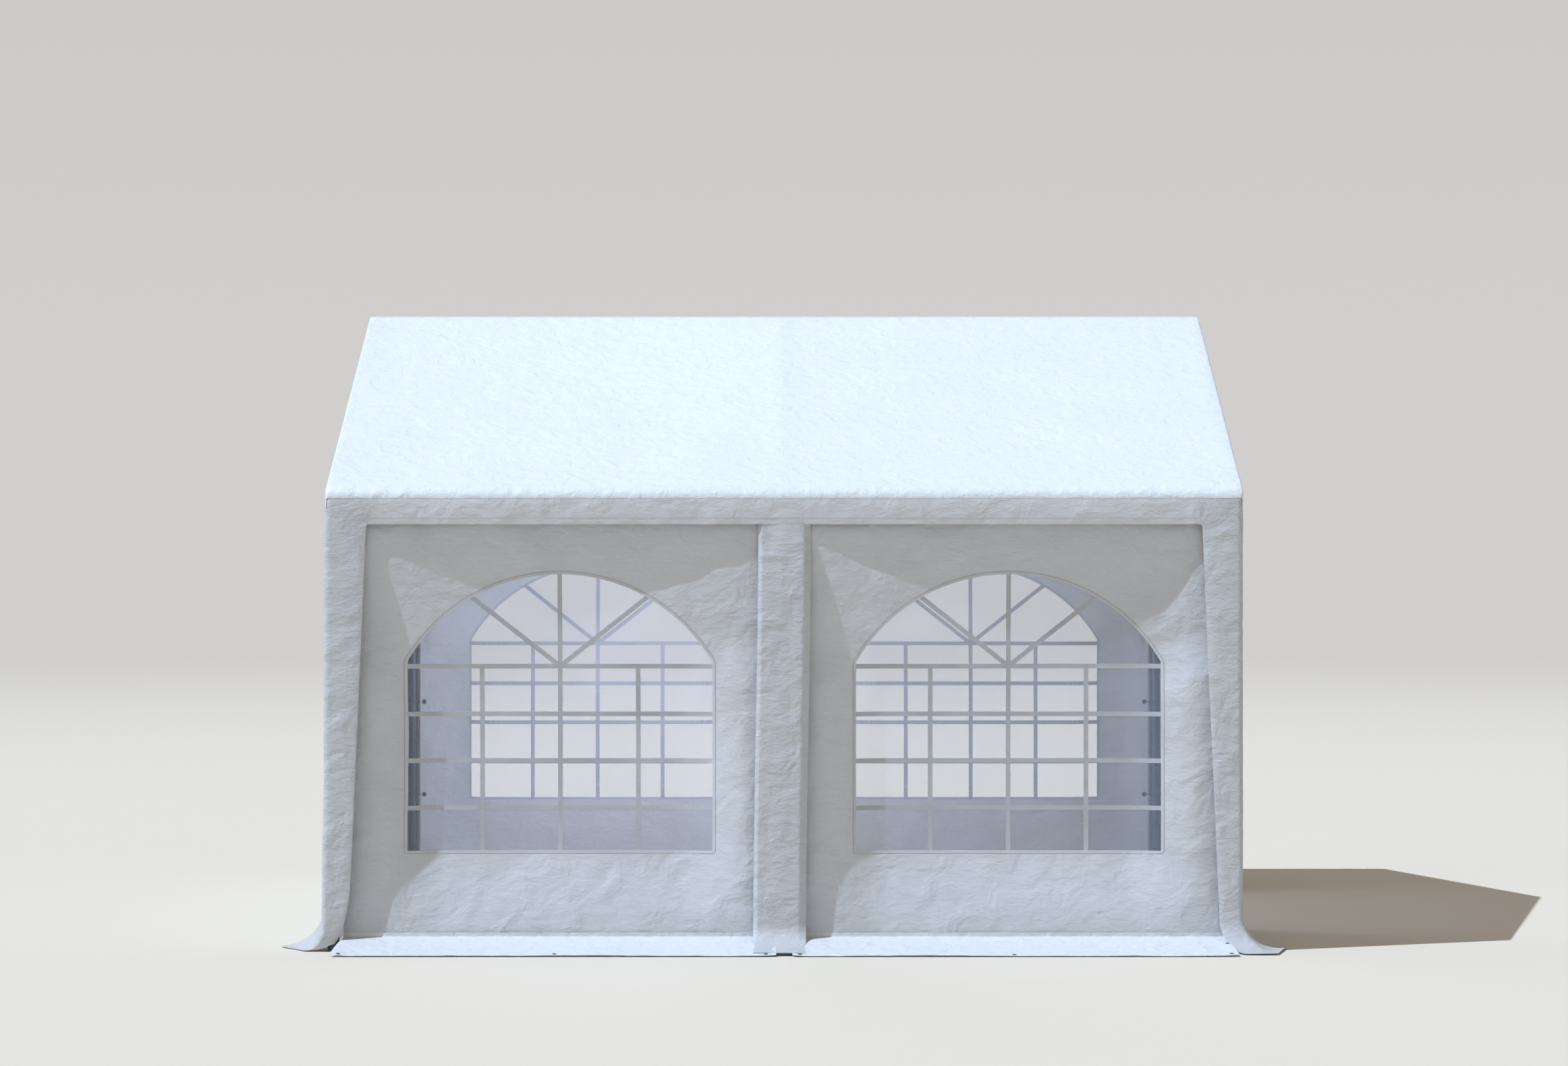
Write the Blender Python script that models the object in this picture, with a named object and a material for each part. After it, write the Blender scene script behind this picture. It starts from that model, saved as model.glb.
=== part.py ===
# Marquee tent on a 4 m by 4 m plan: white PVC cover and walls hung on a steel tube frame.
# Metres, +Z up. The origin is on the ground at the middle of the tent.
# +X runs along the ridge to the end with the open doorway. -Y is the front, with its two bays.

import math

import bmesh
import bpy
from mathutils import Vector

# Main sizes of the tent, over its outer faces
tentLength = 4.0
tentWidth = 4.0
bayCount = 2
eaveHeight = 2.01
ridgeHeight = 2.87

# Sheets, and the gap that touching pieces keep
clothThickness = 0.003
foilThickness = 0.001
seatGap = 0.0003

# Steel frame
tubeDiameter = 0.050
sleeveWall = 0.003
branchStep = 0.0004
sleeveReach = 0.12
footPlateSide = 0.10
footPlateThickness = 0.006
tubeSides = 20

# Valance and the corner flaps that hang from it
valanceDrop = 0.15
valanceCornerRadius = 0.012
flapTopWidth = 0.166
flapLowWidth = 0.105
flapHemInset = 0.045
flapLowHeight = 0.16
flapTuckHeight = 0.06
flapTuckInset = 0.055
flapReturnWidth = 0.17
flapBendRadius = 0.20
flapReach = 0.22

# Flap over the seam between two bays
seamFlapWidth = 0.21
seamFlapTopDrop = 0.03
seamFlapReach = 0.22
seamFlapBendRadius = 0.07

# Side wall panels, one for each bay, with a skirt that runs out over the ground
panelEdgeGap = 0.012
panelTopAboveRail = 0.02
skirtFoldHeight = 0.056
skirtDepth = 0.29
skirtOuterFlare = 0.035
skirtInnerFlare = 0.005

# Arched windows of clear foil
windowWidth = 1.336
windowSill = 0.431
windowSideHeight = 0.828
windowArchRise = 0.384
windowSeam = 0.02
archSteps = 20

# Doorway in each end wall
doorWidth = 1.90
doorHeight = 1.93
doorSeam = 0.02
doorRollRadius = 0.048
doorRollRise = 0.055

# What follows from the sizes above
pitch = math.atan2(ridgeHeight - eaveHeight, tentWidth / 2)
sleeveRadius = tubeDiameter / 2 + sleeveWall
halfLength = tentLength / 2
halfWidth = tentWidth / 2
bayLength = tentLength / bayCount
innerLayer = clothThickness + seatGap
legInset = 2 * innerLayer + sleeveRadius
legX = halfLength - legInset
legY = halfWidth - legInset
roofDrop = (clothThickness + seatGap + sleeveRadius) / math.cos(pitch)
eaveJointZ = eaveHeight + legInset * math.tan(pitch) - roofDrop
ridgeJointZ = ridgeHeight - roofDrop
frameX = [-legX] + [bay * bayLength - halfLength for bay in range(1, bayCount)] + [legX]
wallPlane = legY - sleeveRadius - seatGap - clothThickness / 2
seamFlapPlane = halfWidth - innerLayer - clothThickness / 2
endWallPlane = halfLength - innerLayer - clothThickness / 2
skirtSlope = math.atan2(skirtFoldHeight, skirtDepth)
sides = {"front": -1, "back": 1}
ends = {"left": -1, "right": 1}

# Rotations that stand a drawing up: its X and Y become the world's Y and Z, or X and Z
acrossTent = (math.pi / 2, 0, math.pi / 2)
alongTent = (math.pi / 2, 0, 0)

finishes = {
    "white PVC": ((0.80, 0.84, 0.88), 0.45, 0.0),
    "clear PVC foil": ((0.55, 0.60, 0.68), 0.08, 0.0),
    "galvanised steel": ((0.42, 0.45, 0.48), 0.38, 0.9),
    "steel fitting": ((0.35, 0.37, 0.40), 0.42, 0.9),
}


def clearScene():
    for thing in list(bpy.data.objects):
        bpy.data.objects.remove(thing, do_unlink=True)


def makeCollection(name):
    collection = bpy.data.collections.new(name)
    bpy.context.scene.collection.children.link(collection)
    return collection


def makeMaterials():
    materials = {}
    for name, (colour, roughness, metallic) in finishes.items():
        material = bpy.data.materials.new(name)
        material.use_nodes = True
        shader = material.node_tree.nodes["Principled BSDF"]
        shader.inputs["Base Color"].default_value = (*colour, 1)
        shader.inputs["Roughness"].default_value = roughness
        shader.inputs["Metallic"].default_value = metallic
        materials[name] = material
    return materials


def evaluatedMesh(piece):
    depsgraph = bpy.context.evaluated_depsgraph_get()
    return bpy.data.meshes.new_from_object(piece.evaluated_get(depsgraph))


def finishPiece(piece, name, finish):
    piece.name = name
    piece.data.name = name
    for collection in list(piece.users_collection):
        collection.objects.unlink(piece)
    tent.objects.link(piece)
    piece.data.materials.clear()
    piece.data.materials.append(materials[finish])
    return piece


def flatSolid(outline, thickness, location, rotation):
    """A closed outline drawn flat, given a thickness and stood up in its place."""
    curve = bpy.data.curves.new("outline", "CURVE")
    curve.dimensions = "2D"
    curve.fill_mode = "BOTH"
    curve.extrude = thickness / 2
    spline = curve.splines.new("POLY")
    spline.points.add(len(outline) - 1)
    for point, place in zip(spline.points, outline):
        point.co = (place[0], place[1], 0, 1)
    spline.use_cyclic_u = True
    drawing = bpy.data.objects.new("outline", curve)
    drawing.location = location
    drawing.rotation_euler = rotation
    bpy.context.scene.collection.objects.link(drawing)
    mesh = evaluatedMesh(drawing)
    weld = bmesh.new()
    weld.from_mesh(mesh)
    bmesh.ops.remove_doubles(weld, verts=weld.verts, dist=seatGap / 10)
    bmesh.ops.recalc_face_normals(weld, faces=weld.faces)
    weld.to_mesh(mesh)
    weld.free()
    piece = bpy.data.objects.new("outline", mesh)
    bpy.context.scene.collection.objects.link(piece)
    bpy.context.view_layer.update()
    piece.matrix_world = drawing.matrix_world.copy()
    bpy.data.objects.remove(drawing, do_unlink=True)
    return piece


def boolean(piece, other, operation):
    """Join or cut a piece with another solid, which is used up."""
    change = piece.modifiers.new(operation, "BOOLEAN")
    change.operation = operation
    change.object = other
    bpy.context.view_layer.update()
    mesh = evaluatedMesh(piece)
    piece.modifiers.clear()
    piece.data = mesh
    bpy.data.objects.remove(other, do_unlink=True)
    return piece


def rod(start, end, radius):
    """A straight round bar between two points."""
    start, end = Vector(start), Vector(end)
    bpy.ops.mesh.primitive_cylinder_add(
        vertices=tubeSides, radius=radius, depth=(end - start).length, location=(start + end) / 2
    )
    piece = bpy.context.object
    piece.rotation_euler = (end - start).to_track_quat("Z", "Y").to_euler()
    piece.data.shade_smooth()
    piece.data.set_sharp_from_angle(angle=math.radians(40))
    return piece


def box(low, high):
    low, high = Vector(low), Vector(high)
    bpy.ops.mesh.primitive_cube_add(size=1, location=(low + high) / 2, scale=high - low)
    return bpy.context.object


def arc(centre, radius, startAngle, endAngle, steps):
    angles = [startAngle + (endAngle - startAngle) * step / steps for step in range(steps + 1)]
    return [
        Vector((centre[0] + radius * math.cos(angle), centre[1] + radius * math.sin(angle)))
        for angle in angles
    ]


def band(line, thickness):
    """The closed outline of a sheet seen edge on, with the given line along its middle."""
    line = [Vector(point) for point in line]
    upper, lower = [], []
    for index, point in enumerate(line):
        ways = []
        if index > 0:
            ways.append((point - line[index - 1]).normalized())
        if index < len(line) - 1:
            ways.append((line[index + 1] - point).normalized())
        way = sum(ways, Vector((0, 0))).normalized()
        mitre = thickness / 2 / way.dot(ways[0])
        across = Vector((-way.y, way.x)) * mitre
        upper.append(point + across)
        lower.append(point - across)
    return upper + lower[::-1]


def archOutline(margin):
    """The window's outline round its middle foot: straight sides under a low arch."""
    half = windowWidth / 2
    radius = (half**2 + windowArchRise**2) / (2 * windowArchRise)
    springAngle = math.asin(half / radius)
    springHeight = windowSideHeight
    centre = (0, springHeight + windowArchRise - radius)
    arch = arc(
        centre,
        radius + margin,
        math.pi / 2 - springAngle,
        math.pi / 2 + springAngle,
        archSteps,
    )
    foot = -margin
    return [(half + margin, foot)] + arch + [(-half - margin, foot)]


def makeRoofCover():
    """One sheet folded over the ridge, down to the eave on either side."""
    sheet = clothThickness / math.cos(pitch)
    outer = [(-halfWidth, eaveHeight), (0, ridgeHeight), (halfWidth, eaveHeight)]
    inner = [(y, z - sheet) for y, z in reversed(outer)]
    piece = flatSolid(outer + inner, tentLength, (0, 0, 0), acrossTent)
    finishPiece(piece, "roof_cover", "white PVC")


def makeValance(side):
    """The strip along the eave with a flap down each corner, which folds round to the end."""
    top = eaveHeight - clothThickness / math.cos(pitch) - seatGap
    hem = eaveHeight - valanceDrop
    edge = halfLength - clothThickness / 2
    radius = valanceCornerRadius
    inner = halfLength - flapTopWidth
    rightHalf = arc((inner - radius, hem - radius), radius, math.pi / 2, 0, 4)
    rightHalf += [
        Vector((halfLength - flapLowWidth, flapLowHeight)),
        Vector((halfLength - flapTuckInset, flapTuckHeight)),
        Vector((halfLength - flapHemInset, 0)),
        Vector((edge, 0)),
        Vector((edge, top)),
    ]
    leftHalf = [Vector((-point.x, point.y)) for point in reversed(rightHalf)]
    plane = sides[side] * (halfWidth - clothThickness / 2)
    valance = flatSolid(rightHalf + leftHalf, clothThickness, (0, plane, 0), alongTent)
    for end in ends.values():
        returnTop = top - clothThickness
        boolean(valance, makeFlapReturn(sides[side], end, returnTop), "UNION")
    finishPiece(valance, f"{side}_valance", "white PVC")


def makeFlapReturn(side, end, top):
    """The part of a corner flap on the tent's end: its foot bends out and lies on the ground."""
    plane = halfLength - clothThickness / 2
    floor = clothThickness / 2
    bend = arc((flapBendRadius, flapBendRadius + floor), flapBendRadius, math.pi, 1.5 * math.pi, 6)
    line = [Vector((0, top))] + bend + [Vector((flapReach, floor))]
    outline = [(end * (plane + point.x), point.y) for point in band(line, clothThickness)]
    depth = flapReturnWidth - clothThickness / 2
    middle = side * (halfWidth - clothThickness / 2 - depth / 2)
    return flatSolid(outline, depth, (0, middle, 0), alongTent)


def makeSeamFlap(side, number, x):
    """The flap that hangs over the seam between two bays, its foot lying on both skirts."""
    rise = clothThickness + 2 * seatGap
    normal = Vector((math.sin(skirtSlope), math.cos(skirtSlope)))
    onSkirt = Vector((wallPlane, skirtFoldHeight + clothThickness / 2)) + normal * rise
    startZ = onSkirt.y - (seamFlapPlane - onSkirt.x) * math.tan(skirtSlope)
    radius = seamFlapBendRadius
    centreZ = startZ + radius * (1 - math.sin(skirtSlope)) / math.cos(skirtSlope)
    bend = arc((radius, centreZ), radius, math.pi, 1.5 * math.pi - skirtSlope, 6)
    tip = Vector((seamFlapReach, startZ - seamFlapReach * math.tan(skirtSlope)))
    line = [Vector((0, eaveHeight - seamFlapTopDrop))] + bend + [tip]
    outline = [(sides[side] * (seamFlapPlane + point.x), point.y) for point in band(line, clothThickness)]
    piece = flatSolid(outline, seamFlapWidth, (x, 0, 0), acrossTent)
    finishPiece(piece, f"{side}_seam_flap_{number}", "white PVC")


def makeSideWall(side, bay):
    """One bay's wall panel with its arched window cut through and the skirt at its foot."""
    leftEdge = frameX[bay] + sleeveRadius + panelEdgeGap
    rightEdge = frameX[bay + 1] - sleeveRadius - panelEdgeGap
    middle = (leftEdge + rightEdge) / 2
    floor = clothThickness / 2 * math.cos(skirtSlope)
    line = [
        Vector((wallPlane, eaveJointZ + panelTopAboveRail)),
        Vector((wallPlane, skirtFoldHeight + floor)),
        Vector((wallPlane + skirtDepth, floor)),
    ]
    outline = [(sides[side] * point.x, point.y) for point in band(line, clothThickness)]
    wall = flatSolid(outline, rightEdge - leftEdge, (middle, 0, 0), acrossTent)
    splaySkirt(wall, middle, bay)
    place = (middle, sides[side] * wallPlane, windowSill)
    cutter = flatSolid(archOutline(0), 4 * clothThickness, place, alongTent)
    boolean(wall, cutter, "DIFFERENCE")
    finishPiece(wall, f"{side}_wall_{bay + 1}", "white PVC")
    place = (middle, sides[side] * (wallPlane - (clothThickness + foilThickness) / 2 - seatGap), windowSill)
    foil = flatSolid(archOutline(windowSeam), foilThickness, place, alongTent)
    finishPiece(foil, f"{side}_window_{bay + 1}", "clear PVC foil")


def splaySkirt(wall, middle, bay):
    """Draw the skirt's front edge out sideways, further at a corner of the tent."""
    leftFlare = skirtOuterFlare if bay == 0 else skirtInnerFlare
    rightFlare = skirtOuterFlare if bay == bayCount - 1 else skirtInnerFlare
    for vertex in wall.data.vertices:
        place = wall.matrix_world @ vertex.co
        if abs(place.y) > wallPlane + skirtDepth / 2:
            vertex.co.z += -leftFlare if place.x < middle else rightFlare


def makeEndWall(end):
    """The wall across one end, up to the ridge, with its doorway cut up from the ground."""
    edge = halfWidth - innerLayer
    drop = innerLayer / math.cos(pitch)
    shoulder = eaveHeight + (halfWidth - edge) * math.tan(pitch) - drop
    door = doorWidth / 2
    rightHalf = [(door, doorHeight), (door, 0), (edge, 0), (edge, shoulder)]
    leftHalf = [(-y, z) for y, z in reversed(rightHalf)]
    outline = rightHalf + [(0, ridgeHeight - drop)] + leftHalf
    place = (ends[end] * endWallPlane, 0, 0)
    piece = flatSolid(outline, clothThickness, place, acrossTent)
    finishPiece(piece, f"{end}_end_wall", "white PVC")


def makeClosedDoor(end):
    """The door sheet zipped over the doorway."""
    half = doorWidth / 2 + doorSeam
    outer = ends[end] * halfLength
    inner = ends[end] * (halfLength - clothThickness)
    piece = box((min(inner, outer), -half, 0), (max(inner, outer), half, doorHeight + doorSeam))
    finishPiece(piece, f"{end}_door_sheet", "white PVC")


def makeRolledDoor(end):
    """The door sheet rolled up and tied over the open doorway."""
    half = doorWidth / 2 + doorSeam
    x = ends[end] * (endWallPlane + clothThickness / 2 + seatGap + doorRollRadius)
    z = doorHeight + doorRollRise
    piece = rod((x, -half, z), (x, half, z), doorRollRadius)
    finishPiece(piece, f"{end}_door_roll", "white PVC")


def makeLeg(side, number, x):
    """A leg from its foot plate to the sleeve of the eave joint."""
    y = sides[side] * legY
    leg = rod((x, y, footPlateThickness / 2), (x, y, eaveJointZ - sleeveReach - seatGap), tubeDiameter / 2)
    outerX = x + sleeveRadius * (1 if x > 0 else -1)
    if abs(x) < legX:
        lowX, highX = x - footPlateSide / 2, x + footPlateSide / 2
    else:
        innerX = outerX - footPlateSide * (1 if x > 0 else -1)
        lowX, highX = min(innerX, outerX), max(innerX, outerX)
    outerY = y + sides[side] * sleeveRadius
    innerY = outerY - sides[side] * footPlateSide
    plate = box((lowX, min(innerY, outerY), 0), (highX, max(innerY, outerY), footPlateThickness))
    boolean(leg, plate, "UNION")
    finishPiece(leg, f"{side}_leg_{number}", "galvanised steel")


def makeRail(name, bay, y, z):
    """A rail between the sleeves of two neighbouring joints."""
    start = (frameX[bay] + sleeveReach + seatGap, y, z)
    end = (frameX[bay + 1] - sleeveReach - seatGap, y, z)
    finishPiece(rod(start, end, tubeDiameter / 2), f"{name}_{bay + 1}", "galvanised steel")


def makeRafter(side, number, x):
    """A rafter from the eave joint's sleeve up to the ridge joint's."""
    eave = Vector((x, sides[side] * legY, eaveJointZ))
    ridge = Vector((x, 0, ridgeJointZ))
    inset = (ridge - eave).normalized() * (sleeveReach + seatGap)
    piece = rod(eave + inset, ridge - inset, tubeDiameter / 2)
    finishPiece(piece, f"{side}_rafter_{number}", "galvanised steel")


def makeJoint(name, centre, ways, x):
    """A fitting: a sleeve along each tube that meets there. The branches are a little slimmer."""
    centre = Vector(centre)
    if abs(x) < legX:
        start = centre - Vector((sleeveReach, 0, 0))
        end = centre + Vector((sleeveReach, 0, 0))
    else:
        outward = 1 if x > 0 else -1
        start = centre + Vector((outward * sleeveRadius, 0, 0))
        end = centre - Vector((outward * sleeveReach, 0, 0))
    fitting = rod(start, end, sleeveRadius)
    for way in ways:
        reach = Vector(way).normalized() * sleeveReach
        sleeve = rod(centre, centre + reach, sleeveRadius - branchStep)
        boolean(fitting, sleeve, "UNION")
    finishPiece(fitting, name, "steel fitting")


def makeFrame():
    for number, x in enumerate(frameX, 1):
        for side, sign in sides.items():
            makeLeg(side, number, x)
            makeRafter(side, number, x)
            slope = (0, -sign * math.cos(pitch), math.sin(pitch))
            makeJoint(f"{side}_eave_joint_{number}", (x, sign * legY, eaveJointZ), [(0, 0, -1), slope], x)
        slopes = [(0, sign * math.cos(pitch), -math.sin(pitch)) for sign in sides.values()]
        makeJoint(f"ridge_joint_{number}", (x, 0, ridgeJointZ), slopes, x)
    for bay in range(bayCount):
        makeRail("ridge_rail", bay, 0, ridgeJointZ)
        for side, sign in sides.items():
            makeRail(f"{side}_eave_rail", bay, sign * legY, eaveJointZ)


def makeCover():
    makeRoofCover()
    for side in sides:
        makeValance(side)
        for bay in range(bayCount):
            makeSideWall(side, bay)
        for number, x in enumerate(frameX[1:-1], 1):
            makeSeamFlap(side, number, x)
    for end in ends:
        makeEndWall(end)
    makeClosedDoor("left")
    makeRolledDoor("right")


clearScene()
tent = makeCollection("marquee tent")
materials = makeMaterials()
makeFrame()
makeCover()
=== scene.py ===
import math

import bpy
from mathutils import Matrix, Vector, noise


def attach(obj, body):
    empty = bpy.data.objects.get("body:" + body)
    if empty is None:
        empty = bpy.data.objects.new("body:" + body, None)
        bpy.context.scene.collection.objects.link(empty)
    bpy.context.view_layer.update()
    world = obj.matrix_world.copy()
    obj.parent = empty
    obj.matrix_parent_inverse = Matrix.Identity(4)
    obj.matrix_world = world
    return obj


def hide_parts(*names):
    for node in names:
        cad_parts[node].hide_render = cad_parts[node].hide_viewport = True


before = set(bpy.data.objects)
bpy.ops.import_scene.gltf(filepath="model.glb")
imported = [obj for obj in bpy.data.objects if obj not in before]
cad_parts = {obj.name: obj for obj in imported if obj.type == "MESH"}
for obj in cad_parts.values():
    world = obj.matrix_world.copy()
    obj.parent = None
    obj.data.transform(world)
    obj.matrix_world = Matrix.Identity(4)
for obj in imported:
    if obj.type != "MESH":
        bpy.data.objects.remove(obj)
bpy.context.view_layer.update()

scene = bpy.context.scene

# Main sizes in metres, as in the CAD model. +X runs along the ridge and -Y is the front.
tent = {
    "length": 4.0,
    "width": 4.0,
    "eave": 2.01,
    "ridge": 2.87,
    "legPlace": 1.9654,  # middle of the corner legs, along and across
    "panelGap": 0.04,  # from the middle of a leg to the edge of the panel beside it
    "wallPlane": 1.9371,  # outer face of the side walls
    "endPlane": 1.9958,  # outer face of the end walls
    "cornerRadius": 0.033,
    "sheet": 0.0014,  # thickness of the cloth
}
halfLength = tent["length"] / 2
halfWidth = tent["width"] / 2
slope = (tent["ridge"] - tent["eave"]) / halfWidth
slopeLength = math.hypot(halfWidth, tent["ridge"] - tent["eave"])
sides = {"front": -1, "back": 1}  # which way each side looks along Y
ends = {"left": -1, "right": 1}  # and each end along X
bays = {  # left and right edge of each bay's panel
    1: (-tent["legPlace"] + tent["panelGap"], -tent["panelGap"]),
    2: (tent["panelGap"], tent["legPlace"] - tent["panelGap"]),
}
waveLength = 0.314  # distance at which a wave pattern of scale 1 repeats


def colour(hexCode):
    parts = [int(hexCode[at : at + 2], 16) / 255 for at in (0, 2, 4)]
    return (*[c / 12.92 if c <= 0.04045 else ((c + 0.055) / 1.055) ** 2.4 for c in parts], 1)


def addNode(tree, kind, inputs=None, **settings):
    # An input is a value, a socket, or a node whose first usable output is meant
    node = tree.nodes.new(kind)
    for name, value in settings.items():
        setattr(node, name, value)
    for name, value in (inputs or {}).items():
        if isinstance(value, bpy.types.Node):
            value = next(socket for socket in value.outputs if socket.enabled)
        if isinstance(value, bpy.types.NodeSocket):
            tree.links.new(value, node.inputs[name])
        else:
            node.inputs[name].default_value = value
    return node


def newMaterial(name):
    material = bpy.data.materials.new(name)
    material.use_nodes = True
    material.node_tree.nodes.clear()
    return material, material.node_tree


def makeTarpaulin(name, look):
    # PVC coated polyester, calendered: semi-matt white, the threads show through and it keeps packing creases
    material, tree = newMaterial(name)
    place = addNode(tree, "ShaderNodeTexCoord").outputs["Object"]
    flat = addNode(tree, "ShaderNodeUVMap", uv_map="cloth") if look["onCloth"] else place
    waveScale = waveLength / look["thread"]
    weft, warp = [addNode(tree, "ShaderNodeTexWave", {
        "Vector": flat, "Scale": waveScale, "Distortion": 0.6, "Detail Scale": 0.4}, bands_direction=axis)
        for axis in "YX"]
    threads = addNode(tree, "ShaderNodeMath", {
        0: warp.outputs["Fac"], 1: look["warp"], 2: weft.outputs["Fac"]}, operation="MULTIPLY_ADD")
    slub = addNode(tree, "ShaderNodeMapping", {"Vector": flat, "Scale": (1.5, 34, 34)})
    streaks = addNode(tree, "ShaderNodeTexNoise", {
        "Vector": slub, "Scale": 2.2, "Detail": 3, "Roughness": 0.6})
    crumple = addNode(tree, "ShaderNodeTexNoise", {
        "Vector": place, "Scale": look["crumple"], "Detail": 4, "Roughness": 0.48, "Distortion": 0.5})
    slant = addNode(tree, "ShaderNodeMapping", {
        "Vector": place, "Rotation": (0.0, 0.6, 0.0), "Scale": (1.0, 1.0, 2.6)})
    folds = addNode(tree, "ShaderNodeTexNoise", {
        "Vector": slant, "Scale": look["crumple"] * 2.3, "Detail": 3, "Roughness": 0.55, "Distortion": 0.4})
    folded = addNode(tree, "ShaderNodeMath", {
        0: folds, 1: look["foldShare"], 2: crumple}, operation="MULTIPLY_ADD")
    facets = addNode(tree, "ShaderNodeTexVoronoi", {
        "Vector": place, "Scale": look["crumple"] * 1.7, "Smoothness": 0.35}, feature="SMOOTH_F1")
    clouds = addNode(tree, "ShaderNodeTexNoise", {
        "Vector": place, "Scale": 3.1, "Detail": 3, "Roughness": 0.55})
    bump = addNode(tree, "ShaderNodeBump", {
        "Strength": look["creaseBump"], "Distance": 0.017, "Height": folded})
    bump = addNode(tree, "ShaderNodeBump", {
        "Strength": look["creaseBump"] * 0.22, "Distance": 0.008, "Height": facets, "Normal": bump})
    bump = addNode(tree, "ShaderNodeBump", {
        "Strength": look["weaveBump"], "Distance": 0.0005, "Height": threads, "Normal": bump})
    # Faint clouds in the whiteness, streaks along the weft, and dust where rain splashes the foot
    shade = addNode(tree, "ShaderNodeMix", {
        "Factor": clouds, 6: colour(look["white"]), 7: colour(look["dull"])}, data_type="RGBA")
    thinStreak = addNode(tree, "ShaderNodeMapRange", {
        "Value": streaks, "From Min": 0.35, "From Max": 0.75, "To Min": 0.0, "To Max": 0.32})
    shade = addNode(tree, "ShaderNodeMix", {
        "Factor": thinStreak, 6: shade, 7: colour(look["dull"])}, data_type="RGBA")
    height = addNode(tree, "ShaderNodeSeparateXYZ", {"Vector": place})
    low = addNode(tree, "ShaderNodeMapRange", {
        "Value": height.outputs["Z"], "From Min": look["dustHeight"], "From Max": 0.0, "To Max": 0.55})
    splash = addNode(tree, "ShaderNodeTexNoise", {
        "Vector": place, "Scale": 22.0, "Detail": 6, "Roughness": 0.7})
    dust = addNode(tree, "ShaderNodeMath", {0: low, 1: splash}, operation="MULTIPLY", use_clamp=True)
    shade = addNode(tree, "ShaderNodeMix", {
        "Factor": dust, 6: shade, 7: colour(look["dust"])}, data_type="RGBA")
    gloss = addNode(tree, "ShaderNodeMapRange", {
        "Value": crumple, "From Min": 0.3, "From Max": 0.7,
        "To Min": look["smooth"], "To Max": look["rough"]})
    gloss = addNode(tree, "ShaderNodeMath", {
        0: dust, 1: 0.5, 2: gloss}, operation="MULTIPLY_ADD", use_clamp=True)
    coat = addNode(tree, "ShaderNodeBsdfPrincipled", {
        "Base Color": shade, "Roughness": gloss, "IOR": 1.5, "Sheen Weight": 0.05, "Normal": bump})
    glow = addNode(tree, "ShaderNodeBsdfTranslucent", {"Color": shade, "Normal": bump})
    both = addNode(tree, "ShaderNodeMixShader", {"Fac": look["lightThrough"], 1: coat, 2: glow})
    addNode(tree, "ShaderNodeOutputMaterial", {"Surface": both})
    return material


def makeFoilMaterial(look):
    # Clear PVC foil, calendered: glass smooth, faintly milky and blue, with lazy waves that bend its shine
    material, tree = newMaterial("clear PVC foil")
    place = addNode(tree, "ShaderNodeTexCoord").outputs["Object"]
    waves = addNode(tree, "ShaderNodeTexNoise", {
        "Vector": place, "Scale": 7.0, "Detail": 2, "Distortion": 0.5})
    haze = addNode(tree, "ShaderNodeTexNoise", {
        "Vector": place, "Scale": 2.4, "Detail": 4, "Roughness": 0.6})
    bump = addNode(tree, "ShaderNodeBump", {"Strength": 0.35, "Distance": 0.01, "Height": waves})
    milk = addNode(tree, "ShaderNodeMix", {
        "Factor": haze, 6: colour(look["clear"]), 7: colour(look["milky"])}, data_type="RGBA")
    gloss = addNode(tree, "ShaderNodeMapRange", {"Value": haze, "To Min": 0.10, "To Max": 0.24})
    foil = addNode(tree, "ShaderNodeBsdfPrincipled", {
        "Base Color": milk, "Roughness": gloss, "IOR": 1.53, "Alpha": look["veil"], "Normal": bump})
    addNode(tree, "ShaderNodeOutputMaterial", {"Surface": foil})
    return material


def makeSteel(name, look):
    # Galvanised steel, dipped or plated: dull grey metal with small flowers of zinc that differ in shine
    material, tree = newMaterial(name)
    place = addNode(tree, "ShaderNodeTexCoord").outputs["Object"]
    flowers = addNode(tree, "ShaderNodeTexVoronoi", {
        "Vector": place, "Scale": 1 / look["flower"], "Randomness": 1.0})
    pick = addNode(tree, "ShaderNodeSeparateXYZ", {"Vector": flowers.outputs["Color"]})
    stains = addNode(tree, "ShaderNodeTexNoise", {
        "Vector": place, "Scale": 9.0, "Detail": 6, "Roughness": 0.65})
    grain = addNode(tree, "ShaderNodeTexNoise", {"Vector": place, "Scale": 240.0, "Detail": 2})
    metal = addNode(tree, "ShaderNodeMix", {
        "Factor": pick.outputs["X"], 6: colour(look["light"]), 7: colour(look["dark"])}, data_type="RGBA")
    metal = addNode(tree, "ShaderNodeMix", {
        "Factor": stains, 6: metal, 7: colour(look["oxide"])}, data_type="RGBA")
    gloss = addNode(tree, "ShaderNodeMapRange", {
        "Value": pick.outputs["Y"], "To Min": look["smooth"], "To Max": look["rough"]})
    gloss = addNode(tree, "ShaderNodeMath", {
        0: stains, 1: 0.2, 2: gloss}, operation="MULTIPLY_ADD", use_clamp=True)
    bump = addNode(tree, "ShaderNodeBump", {"Strength": 0.25, "Distance": 0.0006, "Height": grain})
    steel = addNode(tree, "ShaderNodeBsdfPrincipled", {
        "Base Color": metal, "Metallic": 1.0, "Roughness": gloss, "Normal": bump})
    addNode(tree, "ShaderNodeOutputMaterial", {"Surface": steel})
    return material


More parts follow.
